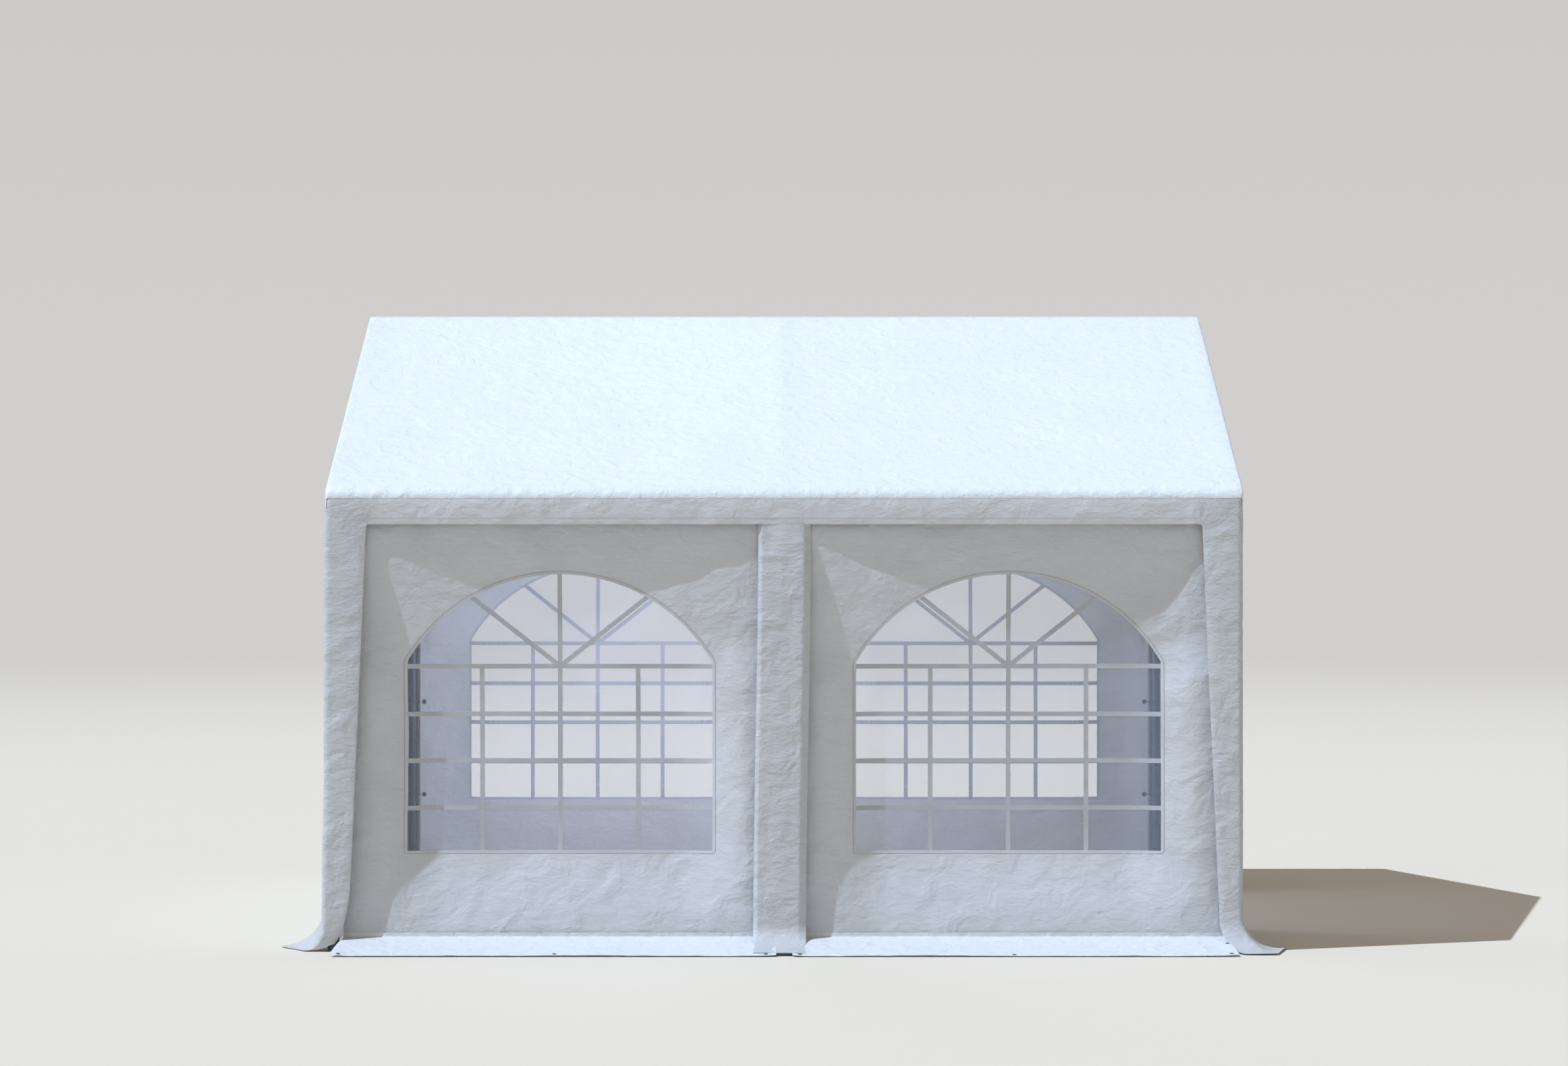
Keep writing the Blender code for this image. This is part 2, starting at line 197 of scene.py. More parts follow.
def makeBraid(name, look):
    # Braided or woven textile and moulded nylon: matt, with its small ridges running round or across
    material, tree = newMaterial(name)
    place = addNode(tree, "ShaderNodeTexCoord").outputs["Object"]
    turned = addNode(tree, "ShaderNodeMapping", {"Vector": place, "Rotation": look["turn"]})
    ridges = addNode(tree, "ShaderNodeTexWave", {
        "Vector": turned, "Scale": waveLength / look["ridge"], "Distortion": 1.5, "Detail": 2.0
    }, bands_direction="DIAGONAL")
    wear = addNode(tree, "ShaderNodeTexNoise", {"Vector": place, "Scale": 31.0, "Detail": 4})
    mixed = addNode(tree, "ShaderNodeMath", {0: ridges.outputs["Fac"], 1: wear}, operation="MULTIPLY")
    shade = addNode(tree, "ShaderNodeMix", {
        "Factor": mixed, 6: colour(look["dark"]), 7: colour(look["light"])}, data_type="RGBA")
    gloss = addNode(tree, "ShaderNodeMapRange", {
        "Value": wear, "To Min": look["smooth"], "To Max": look["rough"]})
    bump = addNode(tree, "ShaderNodeBump", {
        "Strength": 0.6, "Distance": look["ridge"] / 4, "Height": ridges.outputs["Fac"]})
    fibre = addNode(tree, "ShaderNodeBsdfPrincipled", {
        "Base Color": shade, "Roughness": gloss, "IOR": 1.52, "Normal": bump})
    addNode(tree, "ShaderNodeOutputMaterial", {"Surface": fibre})
    return material


wallLook = {
    "white": "DDDEE0",
    "dull": "CDCFD1",
    "dust": "B9B5A6",
    "dustHeight": 0.22,
    "thread": 0.006,  # real threads are 1.1 mm apart, drawn coarser so that they show
    "warp": 0.5,  # how much the warp shows against the weft
    "crumple": 7.2,  # packing creases to the metre
    "creaseBump": 0.98,
    "foldShare": 0.21,  # how much the finer folds show against the creases
    "weaveBump": 0.35,
    "smooth": 0.40,
    "rough": 0.56,
    "lightThrough": 0.24,
    "onCloth": True,  # the weave follows the flat cut
}
# The same white PVC comes in lit and shaded copies: the roof's is painted lighter where the sun falls on it,
# the valance's a little lighter, and the flaps' darker as painted shade.
roofPaintedLightLook = dict(wallLook, white="EDF0F2", dull="E6E9EB", crumple=17.0, creaseBump=0.56, foldShare=0.22,
                lightThrough=0.20)
valancePaintedLightLook = dict(wallLook, white="E3E4E6", dull="D4D6D8")
flapPaintedShadeLook = dict(wallLook, white="D8D9DB", dull="C8CACD", crumple=8.2, creaseBump=1.10, foldShare=0.24)
weldLook = dict(wallLook, onCloth=False, smooth=0.34, rough=0.48, creaseBump=0.12, lightThrough=0.25)
barLook = dict(weldLook, white="D9DADC", dull="B2B4B7", lightThrough=0.30)
# The weld's edge is a thin line drawn darker than the cloth: a seam line, darkened as painted shade along the
# step of the weld.
weldEdgeShadeLook = dict(weldLook, white="B9B2AE", dull="A59E9A")
materials = {
    "wall": makeTarpaulin("white PVC coated polyester", wallLook),
    "roof": makeTarpaulin("white PVC coated polyester, painted lighter (roof, skirts)", roofPaintedLightLook),
    "valance": makeTarpaulin("white PVC coated polyester, painted lighter (valance)", valancePaintedLightLook),
    "flap": makeTarpaulin("white PVC coated polyester, painted shade (flaps)", flapPaintedShadeLook),
    "weld": makeTarpaulin("welded PVC strip", weldLook),
    "bars": makeTarpaulin("thin white PVC bar on foil", barLook),
    "seam": makeTarpaulin("edge of a weld, darkened by painted shade", weldEdgeShadeLook),
    "foil": makeFoilMaterial({"clear": "BFC9E0", "milky": "D2DAE8", "veil": 0.11}),
    # The tube's greys are darker than zinc: painted shade, as the posts stand in the tent's shade.
    "tube": makeSteel("galvanised steel tube", {
        "flower": 0.009, "light": "5A6169", "dark": "3E454D", "oxide": "4A5159",
        "smooth": 0.26, "rough": 0.42}),
    "fitting": makeSteel("galvanised welded fitting", {
        "flower": 0.006, "light": "6B7279", "dark": "50565C", "oxide": "5C6166",
        "smooth": 0.36, "rough": 0.55}),
    "bolt": makeSteel("zinc plated bolt", {
        "flower": 0.003, "light": "C4C8C6", "dark": "A9ADA9", "oxide": "A5A48F",
        "smooth": 0.20, "rough": 0.34}),
    "eyelet": makeSteel("pressed zinc eyelet", {
        "flower": 0.004, "light": "9AA1A8", "dark": "6F767E", "oxide": "7A7F84",
        "smooth": 0.24, "rough": 0.40}),
    "elastic": makeBraid("braided elastic cord", {
        "dark": "242A33", "light": "46505E", "ridge": 0.004, "turn": (0.4, 0.3, 0.0),
        "smooth": 0.62, "rough": 0.85}),
    "hole": makeBraid("shaded eyelet hole", {
        "dark": "1B1F26", "light": "2B3038", "ridge": 0.006, "turn": (0.0, 0.0, 0.4),
        "smooth": 0.8, "rough": 0.95}),
    "webbing": makeBraid("woven polyester webbing", {
        "dark": "C3C9CF", "light": "E3E7EA", "ridge": 0.005, "turn": (0.0, 0.7, 0.0),
        "smooth": 0.6, "rough": 0.8}),
    "zip": makeBraid("moulded nylon zip", {
        "dark": "B9BFC6", "light": "DDE1E5", "ridge": 0.004, "turn": (0.0, 0.0, 0.0),
        "smooth": 0.35, "rough": 0.5}),
    "thread": makeBraid("bonded polyester thread", {
        "dark": "C9CED3", "light": "EEF1F3", "ridge": 0.002, "turn": (0.5, 0.0, 0.0),
        "smooth": 0.45, "rough": 0.6}),
}
print("materials ready")


def smooth(low, high, value):
    part = min(max((value - low) / (high - low), 0), 1)
    return part * part * (3 - 2 * part)


def ripple(u, v, size, seed):
    return noise.noise(Vector((u / size, v / size, seed * 3.7)))


def creaseHeight(u, v, creases):
    # Each crease runs from one point of the cloth to another, with a width and a height
    total = 0
    for startU, startV, endU, endV, width, height in creases:
        alongU, alongV = endU - startU, endV - startV
        length = math.hypot(alongU, alongV)
        along = ((u - startU) * alongU + (v - startV) * alongV) / length
        if -width < along < length + width:
            across = ((u - startU) * alongV - (v - startV) * alongU) / length
            if abs(across) < 3 * width:
                fade = smooth(-width, width * 2, along) * smooth(-width, width * 2, length - along)
                total += height * fade * math.exp(-((across / width) ** 2))
    return total


def steps(start, end, size):
    count = max(1, round(abs(end - start) / size))
    return [start + (end - start) * step / count for step in range(count + 1)]


def gridPattern(columns, rows):
    points = [(u, v) for v in rows for u in columns]
    wide = len(columns)
    faces = [
        (row * wide + at, row * wide + at + 1, (row + 1) * wide + at + 1, (row + 1) * wide + at)
        for row in range(len(rows) - 1)
        for at in range(wide - 1)
    ]
    return points, faces


def link(name, data):
    piece = bpy.data.objects.new(name, data)
    scene.collection.objects.link(piece)
    return piece


def evaluatedMesh(piece):
    bpy.context.view_layer.update()
    mesh = bpy.data.meshes.new_from_object(piece.evaluated_get(bpy.context.evaluated_depsgraph_get()))
    bpy.data.objects.remove(piece, do_unlink=True)
    return mesh


def makeSheet(name, pattern, surface, material, thickness, inner=(0, 0, 1)):
    # Lays a flat pattern on its surface, keeps the flat cut as the UV map, and gives it its thickness inwards
    points, faces = pattern
    mesh = bpy.data.meshes.new(name)
    mesh.from_pydata([surface(u, v) for u, v in points], [], faces)
    cut = mesh.uv_layers.new(name="cloth")
    for loop in mesh.loops:
        cut.data[loop.index].uv = points[loop.vertex_index]
    inside = Vector(inner)
    if sum(face.area * face.normal.dot(face.center - inside) for face in mesh.polygons) < 0:
        mesh.flip_normals()
    sheet = link(name, mesh)
    wall = sheet.modifiers.new("thickness", "SOLIDIFY")
    wall.thickness = thickness
    wall.offset = -1
    finished = evaluatedMesh(sheet)
    finished.shade_smooth()
    finished.set_sharp_from_angle(angle=math.radians(50))
    finished.materials.clear()
    finished.materials.append(material)
    return link(name, finished)


def layOn(mesh, surface, outward):
    # Bends a mesh drawn flat, with its height as Z, onto a surface; outward is 1 or -1
    step = 0.004
    for vertex in mesh.vertices:
        u, v, height = vertex.co
        here = Vector(surface(u, v))
        alongU = Vector(surface(u + step, v)) - here
        alongV = Vector(surface(u, v + step)) - here
        vertex.co = here + alongU.cross(alongV).normalized() * height * outward
    if outward < 0:
        mesh.flip_normals()
    return mesh


def joined(name, meshes):
    pieces = [link(name, mesh) for mesh in meshes]
    with bpy.context.temp_override(active_object=pieces[0], selected_editable_objects=pieces):
        bpy.ops.object.join()
    pieces[0].name = name
    return pieces[0]


def settle(piece, nodes=()):
    piece.data.name = piece.name
    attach(piece, "root")
    if nodes:
        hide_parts(*nodes)
    return piece


# Node trees that repeat a small thing along lines or at points of the flat cloth
def newTree(name, inputs):
    # Each input is a label, a kind and a value; what comes back gives them by label
    tree = bpy.data.node_groups.new(name, "GeometryNodeTree")
    tree.interface.new_socket("Geometry", in_out="INPUT", socket_type="NodeSocketGeometry")
    tree.interface.new_socket("Geometry", in_out="OUTPUT", socket_type="NodeSocketGeometry")
    for label, kind, value in inputs:
        socket = tree.interface.new_socket(label, in_out="INPUT", socket_type=f"NodeSocket{kind}")
        if value is not None:
            socket.default_value = value
    return tree, addNode(tree, "NodeGroupInput").outputs


def endTree(tree, geometry, entry):
    real = addNode(tree, "GeometryNodeRealizeInstances", {"Geometry": geometry})
    finish = addNode(tree, "GeometryNodeSetMaterial", {"Geometry": real, "Material": entry["Finish"]})
    addNode(tree, "NodeGroupOutput", {"Geometry": finish})
    return tree


def makeStripTree():
    tree, entry = newTree("strips along lines", [
        ("Width", "Float", 0.02), ("Height", "Float", 0.001), ("Step", "Float", 0.03),
        ("Finish", "Material", None)])
    line = addNode(tree, "GeometryNodeMeshToCurve", {"Mesh": entry["Geometry"]})
    line = addNode(tree, "GeometryNodeSetCurveNormal", {"Curve": line}, mode="Z_UP")
    line = addNode(tree, "GeometryNodeResampleCurve", {
        "Curve": line, "Length": entry["Step"]}, mode="LENGTH")
    section = addNode(tree, "GeometryNodeCurvePrimitiveQuadrilateral", {
        "Width": entry["Width"], "Height": entry["Height"]})
    strip = addNode(tree, "GeometryNodeCurveToMesh", {
        "Curve": line, "Profile Curve": section, "Fill Caps": True})
    flat = addNode(tree, "GeometryNodeSetShadeSmooth", {"Geometry": strip, "Shade Smooth": False})
    return endTree(tree, flat, entry)


def makeCordTree():
    tree, entry = newTree("cords along lines", [
        ("Radius", "Float", 0.003), ("Step", "Float", 0.008), ("Sides", "Int", 8),
        ("Finish", "Material", None)])
    line = addNode(tree, "GeometryNodeMeshToCurve", {"Mesh": entry["Geometry"]})
    line = addNode(tree, "GeometryNodeResampleCurve", {
        "Curve": line, "Length": entry["Step"]}, mode="LENGTH")
    section = addNode(tree, "GeometryNodeCurvePrimitiveCircle", {
        "Resolution": entry["Sides"], "Radius": entry["Radius"]})
    cord = addNode(tree, "GeometryNodeCurveToMesh", {
        "Curve": line, "Profile Curve": section, "Fill Caps": True})
    return endTree(tree, cord, entry)


def makeStitchTree():
    tree, entry = newTree("stitches along lines", [
        ("Spacing", "Float", 0.008), ("Size", "Vector", (0.003, 0.0007, 0.0005)),
        ("Finish", "Material", None)])
    line = addNode(tree, "GeometryNodeMeshToCurve", {"Mesh": entry["Geometry"]})
    spots = addNode(tree, "GeometryNodeCurveToPoints", {
        "Curve": line, "Length": entry["Spacing"]}, mode="LENGTH")
    turn = addNode(tree, "FunctionNodeAlignRotationToVector", {
        "Vector": spots.outputs["Tangent"]}, axis="X", pivot_axis="Z")
    stitch = addNode(tree, "GeometryNodeMeshIcoSphere", {"Radius": 1.0, "Subdivisions": 1})
    placed = addNode(tree, "GeometryNodeInstanceOnPoints", {
        "Points": spots, "Instance": stitch, "Rotation": turn, "Scale": entry["Size"]})
    return endTree(tree, placed, entry)


def makeEyeletTree():
    tree, entry = newTree("eyelets at points", [
        ("Radius", "Float", 0.011), ("Rim", "Float", 0.0035), ("Finish", "Material", None),
        ("Hole", "Material", None)])
    circle = addNode(tree, "GeometryNodeCurvePrimitiveCircle", {
        "Resolution": 24, "Radius": entry["Radius"]})
    section = addNode(tree, "GeometryNodeCurvePrimitiveCircle", {"Resolution": 8, "Radius": entry["Rim"]})
    rim = addNode(tree, "GeometryNodeCurveToMesh", {"Curve": circle, "Profile Curve": section})
    rim = addNode(tree, "GeometryNodeTransform", {"Geometry": rim, "Scale": (1.0, 1.0, 0.5)})
    rim = addNode(tree, "GeometryNodeSetMaterial", {"Geometry": rim, "Material": entry["Finish"]})
    disc = addNode(tree, "GeometryNodeMeshCylinder", {
        "Vertices": 24, "Radius": entry["Radius"], "Depth": 0.0019})
    disc = addNode(tree, "GeometryNodeSetMaterial", {"Geometry": disc, "Material": entry["Hole"]})
    both = addNode(tree, "GeometryNodeJoinGeometry")
    for part in (rim, disc):
        tree.links.new(part.outputs["Geometry"], both.inputs["Geometry"])
    placed = addNode(tree, "GeometryNodeInstanceOnPoints", {"Points": entry["Geometry"], "Instance": both})
    real = addNode(tree, "GeometryNodeRealizeInstances", {"Geometry": placed})
    addNode(tree, "NodeGroupOutput", {"Geometry": real})
    return tree


def makeBoltTree():
    # A hexagon head on a washer; each point's vector "aim" says where the bolt looks
    tree, entry = newTree("bolts at points", [
        ("Head", "Float", 0.0085), ("Finish", "Material", None)])
    aim = addNode(tree, "GeometryNodeInputNamedAttribute", {"Name": "aim"}, data_type="FLOAT_VECTOR")
    turn = addNode(tree, "FunctionNodeAlignRotationToVector", {"Vector": aim}, axis="Z")
    both = addNode(tree, "GeometryNodeJoinGeometry")
    for corners, radius, depth, lift in ((6, 1.0, 0.75, 0.62), (16, 1.35, 0.2, 0.12), (10, 0.5, 0.3, 1.1)):
        disc = addNode(tree, "GeometryNodeMeshCylinder", {
            "Vertices": corners, "Radius": radius, "Depth": depth})
        disc = addNode(tree, "GeometryNodeTransform", {"Geometry": disc, "Translation": (0.0, 0.0, lift)})
        tree.links.new(disc.outputs["Geometry"], both.inputs["Geometry"])
    size = addNode(tree, "ShaderNodeCombineXYZ", {axis: entry["Head"] for axis in "XYZ"})
    placed = addNode(tree, "GeometryNodeInstanceOnPoints", {
        "Points": entry["Geometry"], "Instance": both, "Rotation": turn, "Scale": size})
    return endTree(tree, placed, entry)


def grow(tree, lines, values, closed=False, aims=None):
    # Runs a tree on a carrier made of lines or single points and returns what grew as a plain mesh
    points, edges = [], []
    for line in lines:
        first = len(points)
        points += [Vector(point).to_3d() for point in line]
        edges += [(at, at + 1) for at in range(first, len(points) - 1)]
        if closed:
            edges.append((len(points) - 1, first))
    mesh = bpy.data.meshes.new("carrier")
    mesh.from_pydata(points, edges, [])
    if aims:
        attribute = mesh.attributes.new("aim", "FLOAT_VECTOR", "POINT")
        for at, aim in enumerate(aims):
            attribute.data[at].vector = aim
    carrier = link("carrier", mesh)
    modifier = carrier.modifiers.new("grow", "NODES")
    modifier.node_group = tree
    for item in tree.interface.items_tree:
        if item.in_out == "INPUT" and item.name in values:
            modifier[item.identifier] = values[item.name]
    return evaluatedMesh(carrier)


stripTree, cordTree, stitchTree = makeStripTree(), makeCordTree(), makeStitchTree()
eyeletTree, boltTree = makeEyeletTree(), makeBoltTree()
print("node trees ready")

edgeGap = 0.006  # from the edge of a hem to its stitches
seamStitch = {
    "Spacing": 0.009,
    "Size": (0.0034, 0.0006, 0.0005),  # half of its length, width and height
    "Finish": materials["thread"],
}


def layStitches(lines, surface, outward):
    return layOn(grow(stitchTree, lines, seamStitch), surface, outward)


def layStrips(lines, size, finish, surface, outward, closed=False):
    # The size is a strip's width, its height and the distance between its cross-sections
    width, height, step = size
    values = {"Width": width, "Height": height, "Step": step, "Finish": materials[finish]}
    return layOn(grow(stripTree, lines, values, closed), surface, outward)


# Roof: one sheet over both slopes, its rim rolled over the eaves and down the gables
roof = {
    "step": 0.028,
    "hemStep": 0.017,
    "gableStep": 0.004,
    "eaveStep": 0.008,
    "sag": 0.012,
    "gableHem": 0.05,
    "gableRound": 0.011,
    "planRound": 0.016,
    "overFrame": 0.0014,  # the cloth lies this much higher where the fittings carry it
    "eaveHem": 0.004,
    "ridgeRound": 0.012,
    "crinkle": 0.0011,
    "billow": 0.0030,
}


def rolledOver(over, radius):
    # How far out and down the cloth is, by the length of it that is past the start of a quarter bend
    bend = min(max(over, 0) / radius, math.pi / 2)
    return radius * math.sin(bend), radius * (1 - math.cos(bend)) + max(over - radius * math.pi / 2, 0)


def roofSurface(u, v):
    straightX, straightY = halfLength - roof["gableRound"], halfWidth - tent["cornerRadius"]
    straightV = straightY * slopeLength / halfWidth
    outX, dropX = rolledOver(abs(u) - straightX, roof["gableRound"])
    outY, dropY = rolledOver(abs(v) - straightV, tent["cornerRadius"])
    x = min(abs(u), straightX) + outX
    y = min(abs(v), straightV) * halfWidth / slopeLength + outY
    # The corner is rounded seen from above, too
    radius = roof["planRound"]
    cornerX, cornerY = max(x - halfLength + radius, 0), max(y - halfWidth + radius, 0)
    x -= cornerX * (1 - math.sqrt(1 - (cornerY / radius) ** 2 / 2))
    y -= cornerY * (1 - math.sqrt(1 - (cornerX / radius) ** 2 / 2))
    rise = math.hypot(y, roof["ridgeRound"]) - roof["ridgeRound"] * 0.3
    z = tent["ridge"] + roof["overFrame"] - slope * max(rise, 0) - dropX - dropY
    bay = math.sin(math.pi * min(x / tent["legPlace"], 1)) ** 1.3
    down = math.sin(math.pi * min(abs(v) / slopeLength, 1)) ** 0.8
    loose = smooth(0, 0.25, slopeLength - abs(v)) * smooth(0, 0.10, abs(v)) * smooth(0, 0.12, bay)
    lift = -roof["sag"] * bay * down
    lift += loose * roof["billow"] * (ripple(u, v, 0.42, 1) - 0.5)
    small = ripple(u, v, 0.085, 2) + 0.6 * ripple(u, v, 0.045, 3) - 0.8
    lift += (0.25 + 0.75 * loose) * roof["crinkle"] * small
    return math.copysign(x, u), math.copysign(y, v), z + lift


def makeRoof():
    rim, gableRim = tent["cornerRadius"] * math.pi / 2, roof["gableRound"] * math.pi / 2
    endX = halfLength - roof["gableRound"]
    endV = (halfWidth - tent["cornerRadius"]) * slopeLength / halfWidth
    edge = [*steps(-endX - gableRim - roof["gableHem"], -endX - gableRim, roof["hemStep"])[:-1],
            *steps(-endX - gableRim, -endX, roof["gableStep"])]
    columns = edge + steps(-endX, endX, roof["step"])[1:-1] + [-column for column in reversed(edge)]
    rows = [-endV - rim - roof["eaveHem"], *steps(-endV - rim, -endV, roof["eaveStep"])]
    half = steps(-endV, 0, roof["step"])[1:-1]
    ridgeRows = [-roof["ridgeRound"], 0, roof["ridgeRound"]]
    rows += half + ridgeRows + [-row for row in reversed(half)] + [-row for row in reversed(rows)]
    piece = makeSheet("roof-sheet", gridPattern(columns, rows), roofSurface, materials["roof"], tent["sheet"])
    settle(piece, ["roof_cover"])
    print("roof made")


makeRoof()


# Valances along the eaves, and on the same surface the flaps that close their corners down to the ground
valance = {
    "drop": 0.15,
    "filletRadius": 0.012,
    "flapTop": 0.179,
    "flapLow": 0.105,
    "flapTaper": 1.70,  # length over which the flap gets narrower
    "flapColumns": 28,
    "straight": 1.6,  # above this drop all of a flap hangs straight
    "return": 0.17,
    "hemWidth": 0.028,
    "cornerRadius": 0.022,
    "tuck": 0.027,  # how far below the eave the cloth starts, under the rim of the roof
    "shown": 0.034,  # how far below the eave it comes out from under the rim
    "full": 0.075,
    "lean": 0.92,
    "standTop": 0.008,  # the left flaps stand out over the gable
    "standFoot": 0.009,  # and more so towards the ground
    "edgeCurl": 0.004,  # the flaps' inner edges curl back
    "edgeCurlWidth": 0.012,
    "waves": (0.0030, 0.0028, 0.0010),  # heights of the large, middling and small ones
    "footWave": 0.006,
    "footLift": 0.010,
    "hemSeam": (0.004, 0.0009, 0.025),
    "creases": [  # from and to, each from the tent's middle and below the eave; width; height
        (1.86, 0.56, 1.97, 0.53, 0.013, 0.0024), (1.92, 0.76, 2.03, 0.72, 0.015, -0.0022),
        (1.88, 0.98, 1.99, 1.05, 0.017, 0.0026), (1.87, 1.34, 1.98, 1.27, 0.015, 0.0022),
        (1.90, 1.60, 2.02, 1.65, 0.020, 0.0028)],
    "creaseShift": 0.14,  # on the right they lie higher
}
# How a corner flap's foot runs out over the ground, at its inner edge, at the corner and at its end on the
# gable: sideways reach, forward reach, radius of the bend, and how much of the bend it has
feet = {
    "left": [(0.113, 0.000, 0.30, 0.72), (0.085, -0.005, 0.13, 1.0), (0.199, -0.050, 0.21, 1.0)],
    "right": [(0.100, 0.150, 0.15, 1.0), (0.140, 0.150, 0.16, 1.0), (0.205, 0.010, 0.19, 1.0)],
}
cornerFlat = halfLength - valance["cornerRadius"]
cornerArc = valance["cornerRadius"] * math.pi / 2
valanceEnd = cornerFlat + cornerArc + valance["return"] - valance["cornerRadius"]


def flapInner(down):
    # Where the flap's inner edge is at a height below the eave, with its small fillet under the valance
    low = halfLength - valance["flapTop"]
    radius, below = valance["filletRadius"], down - valance["drop"]
    if below <= 0:
        return low - radius
    edge = low + (valance["flapTop"] - valance["flapLow"]) * min(below / valance["flapTaper"], 1)
    if below < radius:
        edge -= radius - math.sqrt(radius**2 - (radius - below) ** 2)
    return edge


def footOf(along):
    # Blends the three foot shapes by the place along the valance, measured from the middle of the tent
    shapes = feet["left" if along < 0 else "right"]
    away = abs(along)
    middle = cornerFlat + cornerArc / 2
    if away <= middle:
        part, first, second = smooth(flapInner(2), middle, away), shapes[0], shapes[1]
    else:
        part, first, second = smooth(middle, valanceEnd, away), shapes[1], shapes[2]
    return [a + (b - a) * part for a, b in zip(first, second)]


def flapLength(along):
    radius, bend = footOf(along)[2:]
    return tent["eave"] - radius + radius * bend * math.pi / 2


def valanceSurface(side):
    sign = sides[side]
    seed = 11 if side == "front" else 17
    large, middling, small = valance["waves"]

    def surface(along, down):
        away, radius = abs(along), valance["cornerRadius"]
        if away <= cornerFlat:
            x, y, toX, toY = away, halfWidth, 0, 1
        elif away <= cornerFlat + cornerArc:
            turn = (away - cornerFlat) / radius
            toX, toY = math.sin(turn), math.cos(turn)
            x, y = cornerFlat + radius * toX, halfWidth - radius + radius * toY
        else:
            x, y, toX, toY = halfLength, halfWidth - radius - (away - cornerFlat - cornerArc), 1, 0
        flapPart = smooth(flapInner(2) - 0.15, halfLength - 0.05, away)
        if along < 0:
            stand = valance["standTop"] * smooth(0.03, 0.2, down)
            stand += valance["standFoot"] * smooth(1.2, 1.75, down)
            x += stand * smooth(1.90, 2.0, away)
        hang = smooth(0.03, 0.13, down) * (1 - 0.6 * flapPart)
        # Full under the rim and leaning in towards the hem between the flaps
        past = min(max(down - valance["shown"], 0), valance["drop"] - valance["shown"])
        out = -0.0007 * max(toX, smooth(0.06, valance["shown"], down))
        out += (valance["full"] * past - valance["lean"] * past**2) * (1 - flapPart)
        out += large * hang * (ripple(along, down, 0.33, seed) - 0.2 + 0.8 * flapPart)
        out += middling * hang * ripple(along + down * 0.4, down * 0.8, 0.12, seed + 1)
        out += small * hang * ripple(along, down, 0.05, seed + 2)
        lower = down + (valance["creaseShift"] if along > 0 else 0)
        out += creaseHeight(away, lower, valance["creases"])
        if down > valance["drop"]:
            edge = away - flapInner(down)
            curl = valance["edgeCurl"] * math.exp(-edge / valance["edgeCurlWidth"])
            out -= curl * smooth(0, 0.05, down - valance["drop"])
        z = tent["eave"] - down
        reach, forward, bendRadius = footOf(along)[:3]
        if z < bendRadius:
            turn = min((bendRadius - z) / bendRadius, math.pi / 2)
            z = bendRadius * (1 - math.sin(turn))
            part = 1 - math.cos(turn)
            x += reach * part
            y += forward * part
            out += valance["footWave"] * part * ripple(along, down, 0.11, seed + 4)
            z += valance["footLift"] * part * (0.5 + 0.5 * ripple(along * 1.5, down, 0.16, seed + 5))
        x, y = x + toX * out, y + toY * out
        return math.copysign(x, along), sign * y, max(z, 0.0) + tent["sheet"]

    return surface


def valanceRows():
    # The strip's rows, then those of the flaps, close together round the small fillet
    hem, radius = valance["drop"], valance["filletRadius"]
    topRows = [valance["tuck"], *steps(valance["tuck"] + 0.008, hem, 0.012)]
    fillet = [hem + radius * part for part in (0.08, 0.3, 0.6, 1.0)]
    return topRows, topRows + fillet + steps(fillet[-1], flapLength(valanceEnd), 0.02)[1:]


def flapPattern(way):
    rows = valanceRows()[1]
    fractions = steps(0, 1, 1 / valance["flapColumns"])
    points, faces = gridPattern(fractions, rows)
    straight = valance["straight"]
    placed = []
    for fraction, down in points:
        along = flapInner(down) + (valanceEnd - flapInner(down)) * fraction
        if down > straight:  # the foot's length differs along the flap, and the last rows follow it
            down = straight + (down - straight) * (flapLength(way * along) - straight) / (rows[-1] - straight)
        placed.append((way * along, down))
    return placed, faces


def upwards(surface):
    # The same surface for a flat drawing whose second axis points up and not down
    return lambda u, v: surface(u, -v)


def makeValance(side):
    surface = valanceSurface(side)
    outward = -sides[side]
    upward = upwards(surface)
    inner = flapInner(valance["drop"])
    strip = makeSheet(f"{side}-valance", gridPattern(steps(-inner, inner, 0.025), valanceRows()[0]), surface,
                      materials["valance"], tent["sheet"])
    settle(strip, [f"{side}_valance"])
    low = -valance["drop"]
    across = steps(-inner, inner, 0.05)
    seams = layStrips([[(x, low + valance["hemWidth"]) for x in across]], valance["hemSeam"], "weld", upward,
                      outward)
    stitches = layStitches([[(x, low + edgeGap) for x in across]], upward, outward)
    trim = settle(joined(f"{side}-valance-seams", [seams, stitches]))
    for end, way in ends.items():
        flap = makeSheet(f"{side}-{end}-corner-flap", flapPattern(way), surface, materials["flap"],
                         tent["sheet"])
        settle(flap, [f"{side}_valance"])
        downs = steps(valance["drop"] + 0.02, valance["flapTaper"], 0.05)
        line = [(way * (flapInner(down) + edgeGap), -down) for down in downs]
        stitches = layStitches([line], upward, outward)
        trim = settle(link(f"{side}-{end}-flap-stitches", stitches))
        length = flapLength(way * valanceEnd)
        (valanceEnd - flapInner(0.9)) * length * 0.97


for side in sides:
    makeValance(side)
print("valances made")


